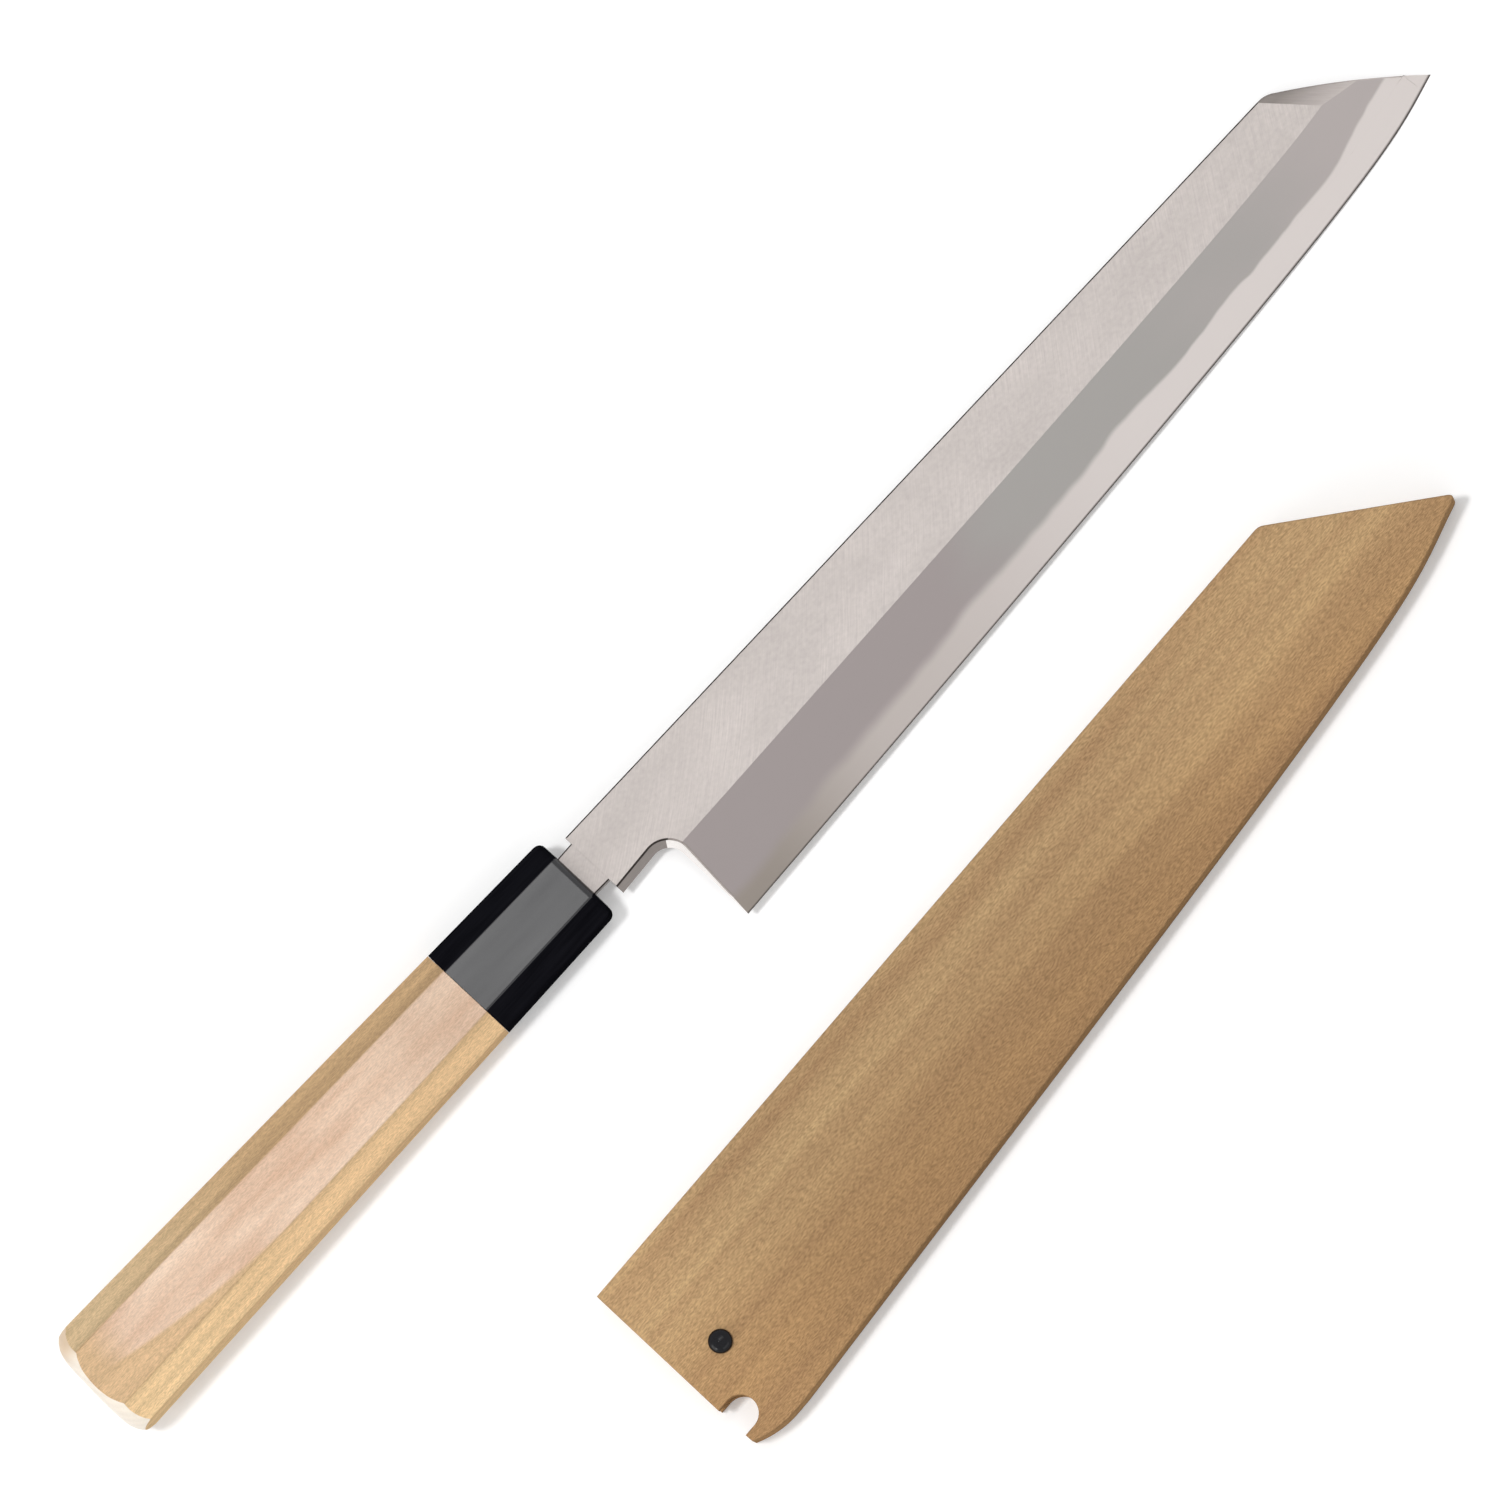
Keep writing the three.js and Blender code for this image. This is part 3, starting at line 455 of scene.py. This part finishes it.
    # the painted sheen dims towards the ferrule
    front_start, front_end, front_shade = -75, -45, 0.9
    to_ferrule = add(material, "ShaderNodeMapRange", {
        0: along, "From Min": front_start, "From Max": front_end, "To Min": 1.0, "To Max": front_shade,
    }, interpolation_type="SMOOTHSTEP")[0]
    sheen_wood = add(material, "ShaderNodeVectorMath", {
        0: sheen_tone, "Scale": to_ferrule,
    }, operation="SCALE")[0]
    wood = add(material, "ShaderNodeMix", {
        0: painted_sheen, MIX_A: edged, MIX_B: sheen_wood,
    }, data_type="RGBA")[MIX_OUT]
    gloss = add(material, "ShaderNodeMapRange", {0: flecks, "To Min": 0.46, "To Max": 0.34})[0]
    bump = add(material, "ShaderNodeBump", {
        "Height": sheen_flecks, "Strength": 0.15, "Distance": 0.02 * MM,
    })[0]
    surface = add(material, "ShaderNodeBsdfPrincipled", {
        "Base Color": wood, "Roughness": gloss, "IOR": WOOD_IOR,
        "Specular IOR Level": level, "Normal": bump,
    })[0]
    add(material, "ShaderNodeOutputMaterial", {"Surface": surface})
    return material


def end_grain():
    """End grain of the butt: pale wood painted nearly white as a painted highlight, browner to the spine,
    with faint rings.
    """
    material, place = start_material("magnolia_end_grain", machi, knife_turn)
    pith = (0, -24, -17)
    ring_or_line_width = 2.6
    ring_scale = math.pi / 10 / ring_or_line_width  # a wave texture of scale 1 repeats every pi / 10
    pore = (0.35, 0.35, 0.35)           # wider than real pores, so that they show
    white_side, brown_side = 5, 11
    grown = add(material, "ShaderNodeMapping", {
        "Vector": place, "Location": pith,
    }, vector_type="TEXTURE")[0]
    rings = add(material, "ShaderNodeTexWave", {
        "Vector": grown, "Scale": ring_scale, "Distortion": 2.5, "Detail": 2, "Detail Scale": 0.3,
    }, wave_type="RINGS", rings_direction="X", wave_profile="SIN")["Fac"]
    pitted = add(material, "ShaderNodeMapping", {"Vector": place, "Scale": pore}, vector_type="TEXTURE")[0]
    pores = add(material, "ShaderNodeTexNoise", {"Vector": pitted, "Scale": 1, "Detail": 2})[0]
    parts = add(material, "ShaderNodeSeparateXYZ", {0: place})
    # painted highlight: nearly white away from the spine, browner towards it where the highlight ends
    to_spine = add(material, "ShaderNodeMapRange", {
        0: parts[1], "From Min": white_side, "From Max": brown_side,
    }, interpolation_type="SMOOTHSTEP")[0]
    pale_highlit_end = add(material, "ShaderNodeMix", {
        0: pores, MIX_A: srgb("#efe1ce"), MIX_B: srgb("#faf1e4"),
    }, data_type="RGBA")[MIX_OUT]
    tone = add(material, "ShaderNodeMix", {
        0: to_spine, MIX_A: pale_highlit_end, MIX_B: srgb("#dfc3a2"),
    }, data_type="RGBA")[MIX_OUT]
    shade = add(material, "ShaderNodeMapRange", {0: rings, "To Min": 1.0, "To Max": 0.95})[0]
    colour = add(material, "ShaderNodeVectorMath", {0: tone, "Scale": shade}, operation="SCALE")[0]
    gloss = add(material, "ShaderNodeMapRange", {0: pores, "To Min": 0.5, "To Max": 0.35})[0]
    surface = add(material, "ShaderNodeBsdfPrincipled", {
        "Base Color": colour, "Roughness": gloss, "IOR": WOOD_IOR,
    })[0]
    add(material, "ShaderNodeOutputMaterial", {"Surface": surface})
    return material


def saya_magnolia():
    """Magnolia boards, planed and sanded: golden by the spine, browner towards the edge, finely flecked."""
    material, place = start_material("saya_magnolia", pin_foot, saya_turn)
    gold_side, brown_side = 18, -12
    mouth_start, mouth_end = 35, -10
    tip_start, tip_end = 110, 190
    parts = add(material, "ShaderNodeSeparateXYZ", {0: place})
    to_edge = add(material, "ShaderNodeMapRange", {
        0: parts[1], "From Min": gold_side, "From Max": brown_side,
    }, interpolation_type="SMOOTHSTEP")[0]
    # lighter towards the mouth and towards the tip
    to_mouth = add(material, "ShaderNodeMapRange", {
        0: parts[0], "From Min": mouth_start, "From Max": mouth_end, "To Min": 0.9, "To Max": 1.07,
    }, interpolation_type="SMOOTHSTEP")[0]
    to_tip = add(material, "ShaderNodeMapRange", {
        0: parts[0], "From Min": tip_start, "From Max": tip_end, "To Min": 1.0, "To Max": 1.1,
    }, interpolation_type="SMOOTHSTEP")[0]
    lighter_at_ends = add(material, "ShaderNodeMath", {0: to_mouth, 1: to_tip}, operation="MULTIPLY")[0]
    pale = add(material, "ShaderNodeMix", {
        0: to_edge, MIX_A: srgb("#bfa076"), MIX_B: srgb("#b08c63"),
    }, data_type="RGBA")[MIX_OUT]
    deep = add(material, "ShaderNodeMix", {
        0: to_edge, MIX_A: srgb("#aa8965"), MIX_B: srgb("#9e7c59"),
    }, data_type="RGBA")[MIX_OUT]
    figure, flecks = wood_figure(material, place, pale, deep, band=(120, 5, 5), contrast=0.26)
    colour = add(material, "ShaderNodeVectorMath", {0: figure, "Scale": lighter_at_ends}, operation="SCALE")[0]
    gloss = add(material, "ShaderNodeMapRange", {0: flecks, "To Min": 0.6, "To Max": 0.48})[0]
    bump = add(material, "ShaderNodeBump", {"Height": flecks, "Strength": 0.2, "Distance": 0.03 * MM})[0]
    surface = add(material, "ShaderNodeBsdfPrincipled", {
        "Base Color": colour, "Roughness": gloss, "IOR": WOOD_IOR, "Specular IOR Level": 0, "Normal": bump,
    })[0]
    add(material, "ShaderNodeOutputMaterial", {"Surface": surface})
    return material


def buffalo_horn(name, low, high, level):
    """Black buffalo horn: near-black with faint lengthwise fibres, as glossy as its polish has left it."""
    material, place = start_material(name, machi, knife_turn)
    fibre = (14, 0.7, 0.7)
    haze = (26, 2.5, 2.5)
    drawn = add(material, "ShaderNodeMapping", {"Vector": place, "Scale": fibre}, vector_type="TEXTURE")[0]
    fibres = add(material, "ShaderNodeTexNoise", {"Vector": drawn, "Scale": 1, "Detail": 3})[0]
    hazed = add(material, "ShaderNodeMapping", {"Vector": place, "Scale": haze}, vector_type="TEXTURE")[0]
    clouds = add(material, "ShaderNodeTexNoise", {"Vector": hazed, "Scale": 1, "Detail": 2})[0]
    colour = add(material, "ShaderNodeMix", {
        0: fibres, MIX_A: srgb("#060609"), MIX_B: srgb("#1b1b20"),
    }, data_type="RGBA")[MIX_OUT]
    gloss = add(material, "ShaderNodeMapRange", {0: clouds, "To Min": low, "To Max": high})[0]
    bump = add(material, "ShaderNodeBump", {"Height": clouds, "Strength": 0.1, "Distance": 0.05 * MM})[0]
    surface = add(material, "ShaderNodeBsdfPrincipled", {
        "Base Color": colour, "Roughness": gloss, "IOR": HORN_IOR,
        "Specular IOR Level": level, "Normal": bump,
    })[0]
    add(material, "ShaderNodeOutputMaterial", {"Surface": surface})
    return material


def black_lacquer():
    """Turned peg under black lacquer: deep black, with a soft highlight broken by fine orange peel."""
    material, place = start_material("black_lacquer", pin_foot, saya_turn)
    peel = (0.5, 0.5, 0.5)
    pitted = add(material, "ShaderNodeMapping", {"Vector": place, "Scale": peel}, vector_type="TEXTURE")[0]
    dimples = add(material, "ShaderNodeTexNoise", {"Vector": pitted, "Scale": 1, "Detail": 2})[0]
    colour = add(material, "ShaderNodeMix", {
        0: dimples, MIX_A: srgb("#08080b"), MIX_B: srgb("#15151a"),
    }, data_type="RGBA")[MIX_OUT]
    gloss = add(material, "ShaderNodeMapRange", {0: dimples, "To Min": 0.14, "To Max": 0.22})[0]
    bump = add(material, "ShaderNodeBump", {"Height": dimples, "Strength": 0.2, "Distance": 0.02 * MM})[0]
    surface = add(material, "ShaderNodeBsdfPrincipled", {
        "Base Color": colour, "Roughness": gloss, "IOR": LACQUER_IOR,
        "Specular IOR Level": 0.2, "Normal": bump,
    })[0]
    add(material, "ShaderNodeOutputMaterial", {"Surface": surface})
    return material


# Meshes

MERGE = 0.02                            # points closer than this are one, in millimetres
NEARLY_ALONG = 0.9                      # share of an edge's direction that counts as along an axis
FLAT_ANGLE = 0.2                        # degrees: faces that meet at less are one flat face
FACET_ANGLE = 30                        # the facets of handle and ferrule meet at more than this
SIDE_ANGLE = 50                         # and the blade's sides meet its front at more than this
FACETS_FLOW = 28                        # edges flatter than these are smooth, each on its own piece
SIDES_FLOW = 30
PIN_FLOWS = 40
BOARDS_FLOW = 50


def mesh_copy(node):
    """A merged copy of a CAD node's mesh, with its flat faces whole again."""
    bm = bmesh.new()
    bm.from_mesh(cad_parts[node].data)
    for face in bm.faces:
        face.material_index = 0
    bmesh.ops.remove_doubles(bm, verts=bm.verts, dist=MERGE * MM)
    bmesh.ops.dissolve_limit(
        bm, angle_limit=math.radians(FLAT_ANGLE), verts=bm.verts, edges=bm.edges, delimit={"NORMAL"},
    )
    return bm


def ease(bm, edges, size):
    """Rounds edges over, and gives back the new faces."""
    return bmesh.ops.bevel(
        bm, geom=edges, offset=size * MM, offset_type="OFFSET", affect="EDGES",
        segments=EASE_STEPS, profile=0.5, material=-1, clamp_overlap=False,
    )["faces"]


def sharp_edges(bm, least):
    """Edges whose two faces meet at more than the given angle in degrees."""
    return [e for e in bm.edges if len(e.link_faces) == 2 and e.calc_face_angle() > math.radians(least)]


def facet_edges(bm):
    """The long outer edges between the facets of the handle or the ferrule."""
    edges = []
    for edge in sharp_edges(bm, FACET_ANGLE):
        first, last = [to_knife @ (vert.co - machi) for vert in edge.verts]
        outside = min(first.yz.length, last.yz.length) > SOCKET_REACH * MM
        if outside and abs((last - first).normalized().x) > NEARLY_ALONG:
            edges.append(edge)
    return edges


def finish_piece(bm, name, node, body, materials, flows):
    """Makes the mesh a piece that rides on a body in place of its CAD node, smooth where an edge flows."""
    mesh = bpy.data.meshes.new(name)
    for face in bm.faces:
        face.smooth = True
    for edge in bm.edges:
        edge.smooth = len(edge.link_faces) == 2 and flows(edge)
    bm.to_mesh(mesh)
    bm.free()
    for material in materials:
        mesh.materials.append(material)
    piece = bpy.data.objects.new(name, mesh)
    bpy.context.scene.collection.objects.link(piece)
    weighted = piece.modifiers.new("even_normals", "WEIGHTED_NORMAL")
    weighted.keep_sharp = True
    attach(piece, body)
    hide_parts(node)


def under(angle):
    """A rule that lets edges flatter than an angle in degrees flow."""
    return lambda edge: edge.calc_face_angle() < math.radians(angle)


# The blade's surfaces, in the order of its materials
FLAT, BEVEL, TIP_FACET, BRIGHT_SIDE, GREY_SIDE, ROUNDED, HOLLOW, RIM = range(8)
SIDES = {BRIGHT_SIDE, GREY_SIDE, ROUNDED}
LEVEL = math.cos(math.radians(10.6))    # what is steeper than the bevel counts as a side
RIM_PLANE = 0.01                        # what rises less than this from the back belongs to its flat rim
SPINE_SIDE = 0.5                        # shares of a face's direction that point across the blade
UNDER_SIDE = -0.7
BEVEL_LEAN = -0.05
CLIP_LEAN = 0.02


def blade_side(face):
    """Which of the blade's surfaces a face belongs to."""
    normal = to_knife @ face.normal
    if normal.z < -LEVEL:
        heights = [(to_knife @ (vert.co - machi)).z / MM + SPINE_THICKNESS / 2 for vert in face.verts]
        return RIM if max(heights) < RIM_PLANE else HOLLOW
    if normal.z < LEVEL:
        # sides get lit and shaded copies of one steel by the way they face: grey on the spine and, as
        # painted shade, under the neck; bright with a painted highlight on the choil and heel
        along = (face.calc_center_median().x - machi.x) / MM
        under_neck = normal.y < UNDER_SIDE and along < HEEL_SETBACK
        on_spine_or_neck = normal.y > SPINE_SIDE or along < NECK_END
        return GREY_SIDE if on_spine_or_neck or under_neck else BRIGHT_SIDE
    if normal.y < BEVEL_LEAN:
        return BEVEL
    if normal.y > CLIP_LEAN:
        return TIP_FACET
    return FLAT


def blade_flows(edge):
    """The blade's surfaces meet in crisp lines, and its rounded sides flow."""
    kinds = {face.material_index for face in edge.link_faces}
    if kinds & SIDES:
        return edge.calc_face_angle() < math.radians(SIDES_FLOW)
    return len(kinds) == 1


def iron_mesh():
    """The iron, with the edges of its spine, neck, choil and heel rounded."""
    bm = mesh_copy("blade_iron")
    for face in bm.faces:
        face.material_index = blade_side(face)
    front_edges = []
    for edge in sharp_edges(bm, SIDE_ANGLE):
        kinds = {face.material_index for face in edge.link_faces}
        first, last = [to_knife @ (vert.co - machi) for vert in edge.verts]
        across_blade = abs((last - first).normalized().y) > NEARLY_ALONG
        at_neck = across_blade and max(first.x, last.x) < NECK_END * MM
        if kinds & SIDES and kinds & {FLAT, BEVEL, TIP_FACET} and not at_neck:
            front_edges.append(edge)
    # eased edges: a grey line of painted shade where they face the handle, nearly black painted shade along
    # the other rounded edges
    for face in ease(bm, front_edges, BLADE_EASE):
        facing = to_knife @ face.normal
        if face.calc_center_median().x > machi.x + CLIP_START * MM:
            face.material_index = TIP_FACET
        elif -facing.x > abs(facing.y):
            face.material_index = GREY_SIDE
        else:
            face.material_index = ROUNDED
    return bm


def climb(normals):
    """The way up, one unit high, that stays in the planes with these normals."""
    if len(normals) == 2:
        way = normals[0].cross(normals[1])
    elif normals:
        way = Vector((0, 0, 1)) - normals[0] * normals[0].z
    else:
        way = Vector((0, 0, 1))
    return way / way.z


def steel_mesh():
    """The steel plate, raised by the weld line so that the weld is closed."""
    bm = mesh_copy("edge_steel")
    for face in bm.faces:
        face.material_index = blade_side(face)
    start = min(v.co.x for v in bm.verts)
    moves = {}
    for vert in bm.verts:
        faces = list(vert.link_faces)
        if not any(f.material_index == FLAT for f in faces):
            continue
        walls = []
        for kinds in ({BEVEL}, SIDES):
            normals = [to_knife @ f.normal for f in faces if f.material_index in kinds]
            if normals:
                walls.append(sum(normals, Vector()).normalized())
        moves[vert] = to_knife.transposed() @ climb(walls) * WELD_LINE * MM
    for vert, move in moves.items():
        vert.co += move
    for vert in bm.verts:
        if vert.co.x < start + WELD_LINE * MM:
            vert.co.x -= WELD_LINE * MM
    return bm


# The handle's surfaces, in the order of its materials
BURNISHED, SANDED, BUTT_END = range(3)
BUTT_LENGTH = 12                        # the domed butt lies within this of the end
BUTT_LEAN = -0.4                        # and its faces point this far back
SLOPING = 0.3                           # facets that lean more than this to either side are sanded


def handle_mesh():
    """The octagonal handle with its long edges taken off; its domed butt takes the end grain."""
    bm = mesh_copy("handle")
    butt = machi.x + HANDLE_BUTT * MM
    for face in bm.faces:
        normal = to_knife @ face.normal
        if normal.x < BUTT_LEAN and face.calc_center_median().x < butt + BUTT_LENGTH * MM:
            face.material_index = BUTT_END
        elif abs(normal.y) > SLOPING:
            face.material_index = SANDED
        else:
            face.material_index = BURNISHED
    ease(bm, facet_edges(bm), HANDLE_EASE)
    return bm


def ferrule_mesh():
    """The octagonal horn ferrule with its edges taken off: buffed above, sanded on its sloping sides."""
    bm = mesh_copy("ferrule")
    for face in bm.faces:
        face.material_index = int(abs(face.normal.y) > SLOPING)
    ease(bm, facet_edges(bm), FERRULE_EASE)
    return bm


# Steps of the turned peg, and how near its points on the axis are merged, in millimetres
DOME_STEPS = 10
TURN_STEPS = 64
POLE_MERGE = 0.002


def pin_mesh():
    """The peg, turned: a tapered shank under a domed head."""
    bm = bmesh.new()
    foot = pin_low.z
    top = pin_high.z
    seat = top - PIN_HEAD_HEIGHT * MM
    rim = seat + PIN_HEAD_SEAT * MM
    head = (pin_high.x - pin_low.x) / 2
    tip = PIN_TIP_DIAMETER / 2 * MM
    soft = PIN_EASE * MM
    profile = [
        (0, foot), (tip - soft, foot), (tip, foot + soft), (PIN_DIAMETER / 2 * MM, seat),
        (head - soft, seat), (head, seat + soft),
    ]
    for step in range(DOME_STEPS + 1):
        turn = step / DOME_STEPS * math.pi / 2
        profile.append((head * math.cos(turn), rim + (top - rim) * math.sin(turn)))
    verts = [bm.verts.new((pin_foot.x + out, pin_foot.y, height)) for out, height in profile]
    edges = [bm.edges.new(pair) for pair in zip(verts, verts[1:])]
    bmesh.ops.spin(
        bm, geom=verts + edges, cent=pin_foot, axis=(0, 0, 1),
        angle=2 * math.pi, steps=TURN_STEPS, use_merge=True,
    )
    bmesh.ops.remove_doubles(bm, verts=bm.verts, dist=POLE_MERGE * MM)
    bmesh.ops.recalc_face_normals(bm, faces=bm.faces)
    return bm


# Pieces

# Streaks that the tools leave, in millimetres along, across and through the blade
belt_streak = (3, 0.4, 0.4)
wheel_streak = (0.4, 8, 8)
stone_streak = (8, 0.4, 0.4)

# The drawn steels, in order: bright choil and heel, whose pale colour is partly a painted highlight, dull
# grey spine and neck, painted shade where it lies under the neck, nearly black rounded edges that are
# painted shade, the back's soft grey hollow, and the bright flat rim around it
blade_materials = [
    ground_iron(),
    misty_bevel(),
    tip_facet(),
    drawn_steel("polished_highlit_steel", "#e2dcd8", "#f4f0ee", belt_streak, low=0.14, high=0.24),
    drawn_steel("belt_ground_shaded_iron", "#7c7571", "#928b87", belt_streak, low=0.36, high=0.48),
    drawn_steel("painted_shade_iron", "#2e2a28", "#423d3a", belt_streak, low=0.4, high=0.5),
    drawn_steel("hollow_ground_steel", "#968e8a", "#aaa29e", wheel_streak, low=0.32, high=0.42),
    drawn_steel("stone_flattened_steel", "#c2bab6", "#d4cdc9", stone_streak, low=0.2, high=0.3),
]
horn_finishes = [
    buffalo_horn("buffed_horn", low=0.12, high=0.26, level=0.55),
    buffalo_horn("sanded_horn", low=0.4, high=0.55, level=0),
]
handle_finishes = [
    handle_magnolia("burnished_magnolia", level=0.3),
    handle_magnolia("sanded_magnolia", level=0),
    end_grain(),
]
saya_wood = saya_magnolia()

finish_piece(iron_mesh(), "iron_blade", "blade_iron", "knife", blade_materials, blade_flows)
finish_piece(steel_mesh(), "steel_edge", "edge_steel", "knife", blade_materials, blade_flows)
finish_piece(ferrule_mesh(), "horn_ferrule", "ferrule", "knife", horn_finishes, under(FACETS_FLOW))
finish_piece(
    handle_mesh(), "magnolia_handle", "handle", "knife", handle_finishes, under(FACETS_FLOW),
)
for board in ("saya_front_board", "saya_back_board", "saya_spine_strip", "saya_edge_strip"):
    finish_piece(
        mesh_copy(board), board + "_wood", board, "saya", [saya_wood], under(BOARDS_FLOW),
    )
finish_piece(
    pin_mesh(), "lacquered_pin", "saya_pin", "pin", [black_lacquer()], under(PIN_FLOWS),
)


# Floor, light and camera

ROOM_LIGHT = 0.15                       # what the white room adds to matt surfaces
FLOOR_LIFT = 0.2                        # what the floor adds to its own white where it is seen
FLOOR_REACH = 8.0                       # metres


def shown_rays(material):
    """One where the eye, a mirror or glass looks, and nought for light that falls on things."""
    rays = add(material, "ShaderNodeLightPath", {})
    seen = add(material, "ShaderNodeMath", {
        0: rays["Is Camera Ray"], 1: rays["Is Glossy Ray"],
    }, operation="ADD")[0]
    return add(material, "ShaderNodeMath", {
        0: seen, 1: rays["Is Transmission Ray"],
    }, operation="ADD", use_clamp=True)[0]


def floor_paper():
    """White paper: it burns out to white for the eye and keeps the shadows."""
    material = bpy.data.materials.new("white_paper")
    material.use_nodes = True
    material.node_tree.nodes.clear()
    strength = add(material, "ShaderNodeMath", {
        0: shown_rays(material), 1: FLOOR_LIFT,
    }, operation="MULTIPLY")[0]
    paper = add(material, "ShaderNodeBsdfDiffuse", {"Color": srgb("#efefef")})[0]
    lift = add(material, "ShaderNodeEmission", {"Color": srgb("#ffffff"), "Strength": strength})[0]
    both = add(material, "ShaderNodeAddShader", {0: paper, 1: lift})[0]
    add(material, "ShaderNodeOutputMaterial", {"Surface": both})
    return material


def softbox(name, place, target, width, depth, radiance, mirrored):
    """A rectangular lamp of the given radiance that faces a point; shiny surfaces show it if mirrored."""
    lamp = bpy.data.lights.new(name, "AREA")
    lamp.shape = "RECTANGLE"
    lamp.size = width
    lamp.size_y = depth
    lamp.energy = radiance * math.pi * width * depth
    box = bpy.data.objects.new(name, lamp)
    box.location = place
    box.rotation_euler = (Vector(target) - Vector(place)).to_track_quat("-Z", "Y").to_euler()
    box.visible_camera = False
    box.visible_glossy = mirrored
    bpy.context.scene.collection.objects.link(box)


floor_bm = bmesh.new()
bmesh.ops.create_grid(floor_bm, x_segments=1, y_segments=1, size=FLOOR_REACH)
floor_mesh = bpy.data.meshes.new("floor")
floor_bm.to_mesh(floor_mesh)
floor_bm.free()
floor_mesh.materials.append(floor_paper())
floor = bpy.data.objects.new("floor", floor_mesh)
bpy.context.scene.collection.objects.link(floor)

middle = (0, 0.02, 0)
softbox(
    "wide_overhead", place=(0.2, 0.12, 1.2), target=(0.2, 0.12, 0),
    width=1.6, depth=1.5, radiance=0.73, mirrored=False,
)
softbox(
    "overhead_core", place=(0.13, 0.152, 1.0), target=(0.13, 0.152, 0),
    width=0.54, depth=0.2, radiance=2.55, mirrored=True,
)
softbox(
    "key", place=(-1.0, 0.7, 4.84), target=middle,
    width=0.5, depth=0.5, radiance=138.0, mirrored=False,
)
softbox(
    "butt_side_card", place=(-1.1, 0, 0.5), target=middle,
    width=0.8, depth=0.5, radiance=2.8, mirrored=True,
)
softbox(
    "edge_side_card", place=(0, -1.0, 0.85), target=middle,
    width=1.2, depth=0.4, radiance=1.1, mirrored=True,
)
softbox(
    "pin_glint", place=(-0.75, -0.2, 0.46), target=pin_foot,
    width=0.1, depth=0.1, radiance=9.0, mirrored=True,
)

world = bpy.data.worlds.new("white_room")
world.use_nodes = True
world.node_tree.nodes.clear()
room = add(world, "ShaderNodeMapRange", {0: shown_rays(world), "To Min": ROOM_LIGHT, "To Max": 1.0})[0]
walls = add(world, "ShaderNodeBackground", {"Color": srgb("#ffffff"), "Strength": room})[0]
add(world, "ShaderNodeOutputWorld", {"Surface": walls})
bpy.context.scene.world = world

back = Vector((0, -math.sin(VIEW_TILT), math.cos(VIEW_TILT)))
across = Vector((0, math.cos(VIEW_TILT), math.sin(VIEW_TILT)))
ahead = Vector((1, 0, 0))
right = ahead * math.cos(VIEW_TURN) - across * math.sin(VIEW_TURN)
up = ahead * math.sin(VIEW_TURN) + across * math.cos(VIEW_TURN)
target = machi + (ahead * VIEW_CENTRE[0] + across * VIEW_CENTRE[1]) * MM

camera_data = bpy.data.cameras.new("camera")
camera_data.sensor_width = SENSOR
camera_data.lens = SENSOR * CAMERA_DISTANCE / (IMAGE_SIZE * PIXEL * MM)
camera_data.clip_end = CAMERA_REACH
camera = bpy.data.objects.new("camera", camera_data)
looking = Matrix((right, up, back)).transposed().to_4x4()
camera.matrix_world = Matrix.Translation(target + back * CAMERA_DISTANCE) @ looking
bpy.context.scene.collection.objects.link(camera)
bpy.context.scene.camera = camera
bpy.context.scene.view_settings.view_transform = "Standard"
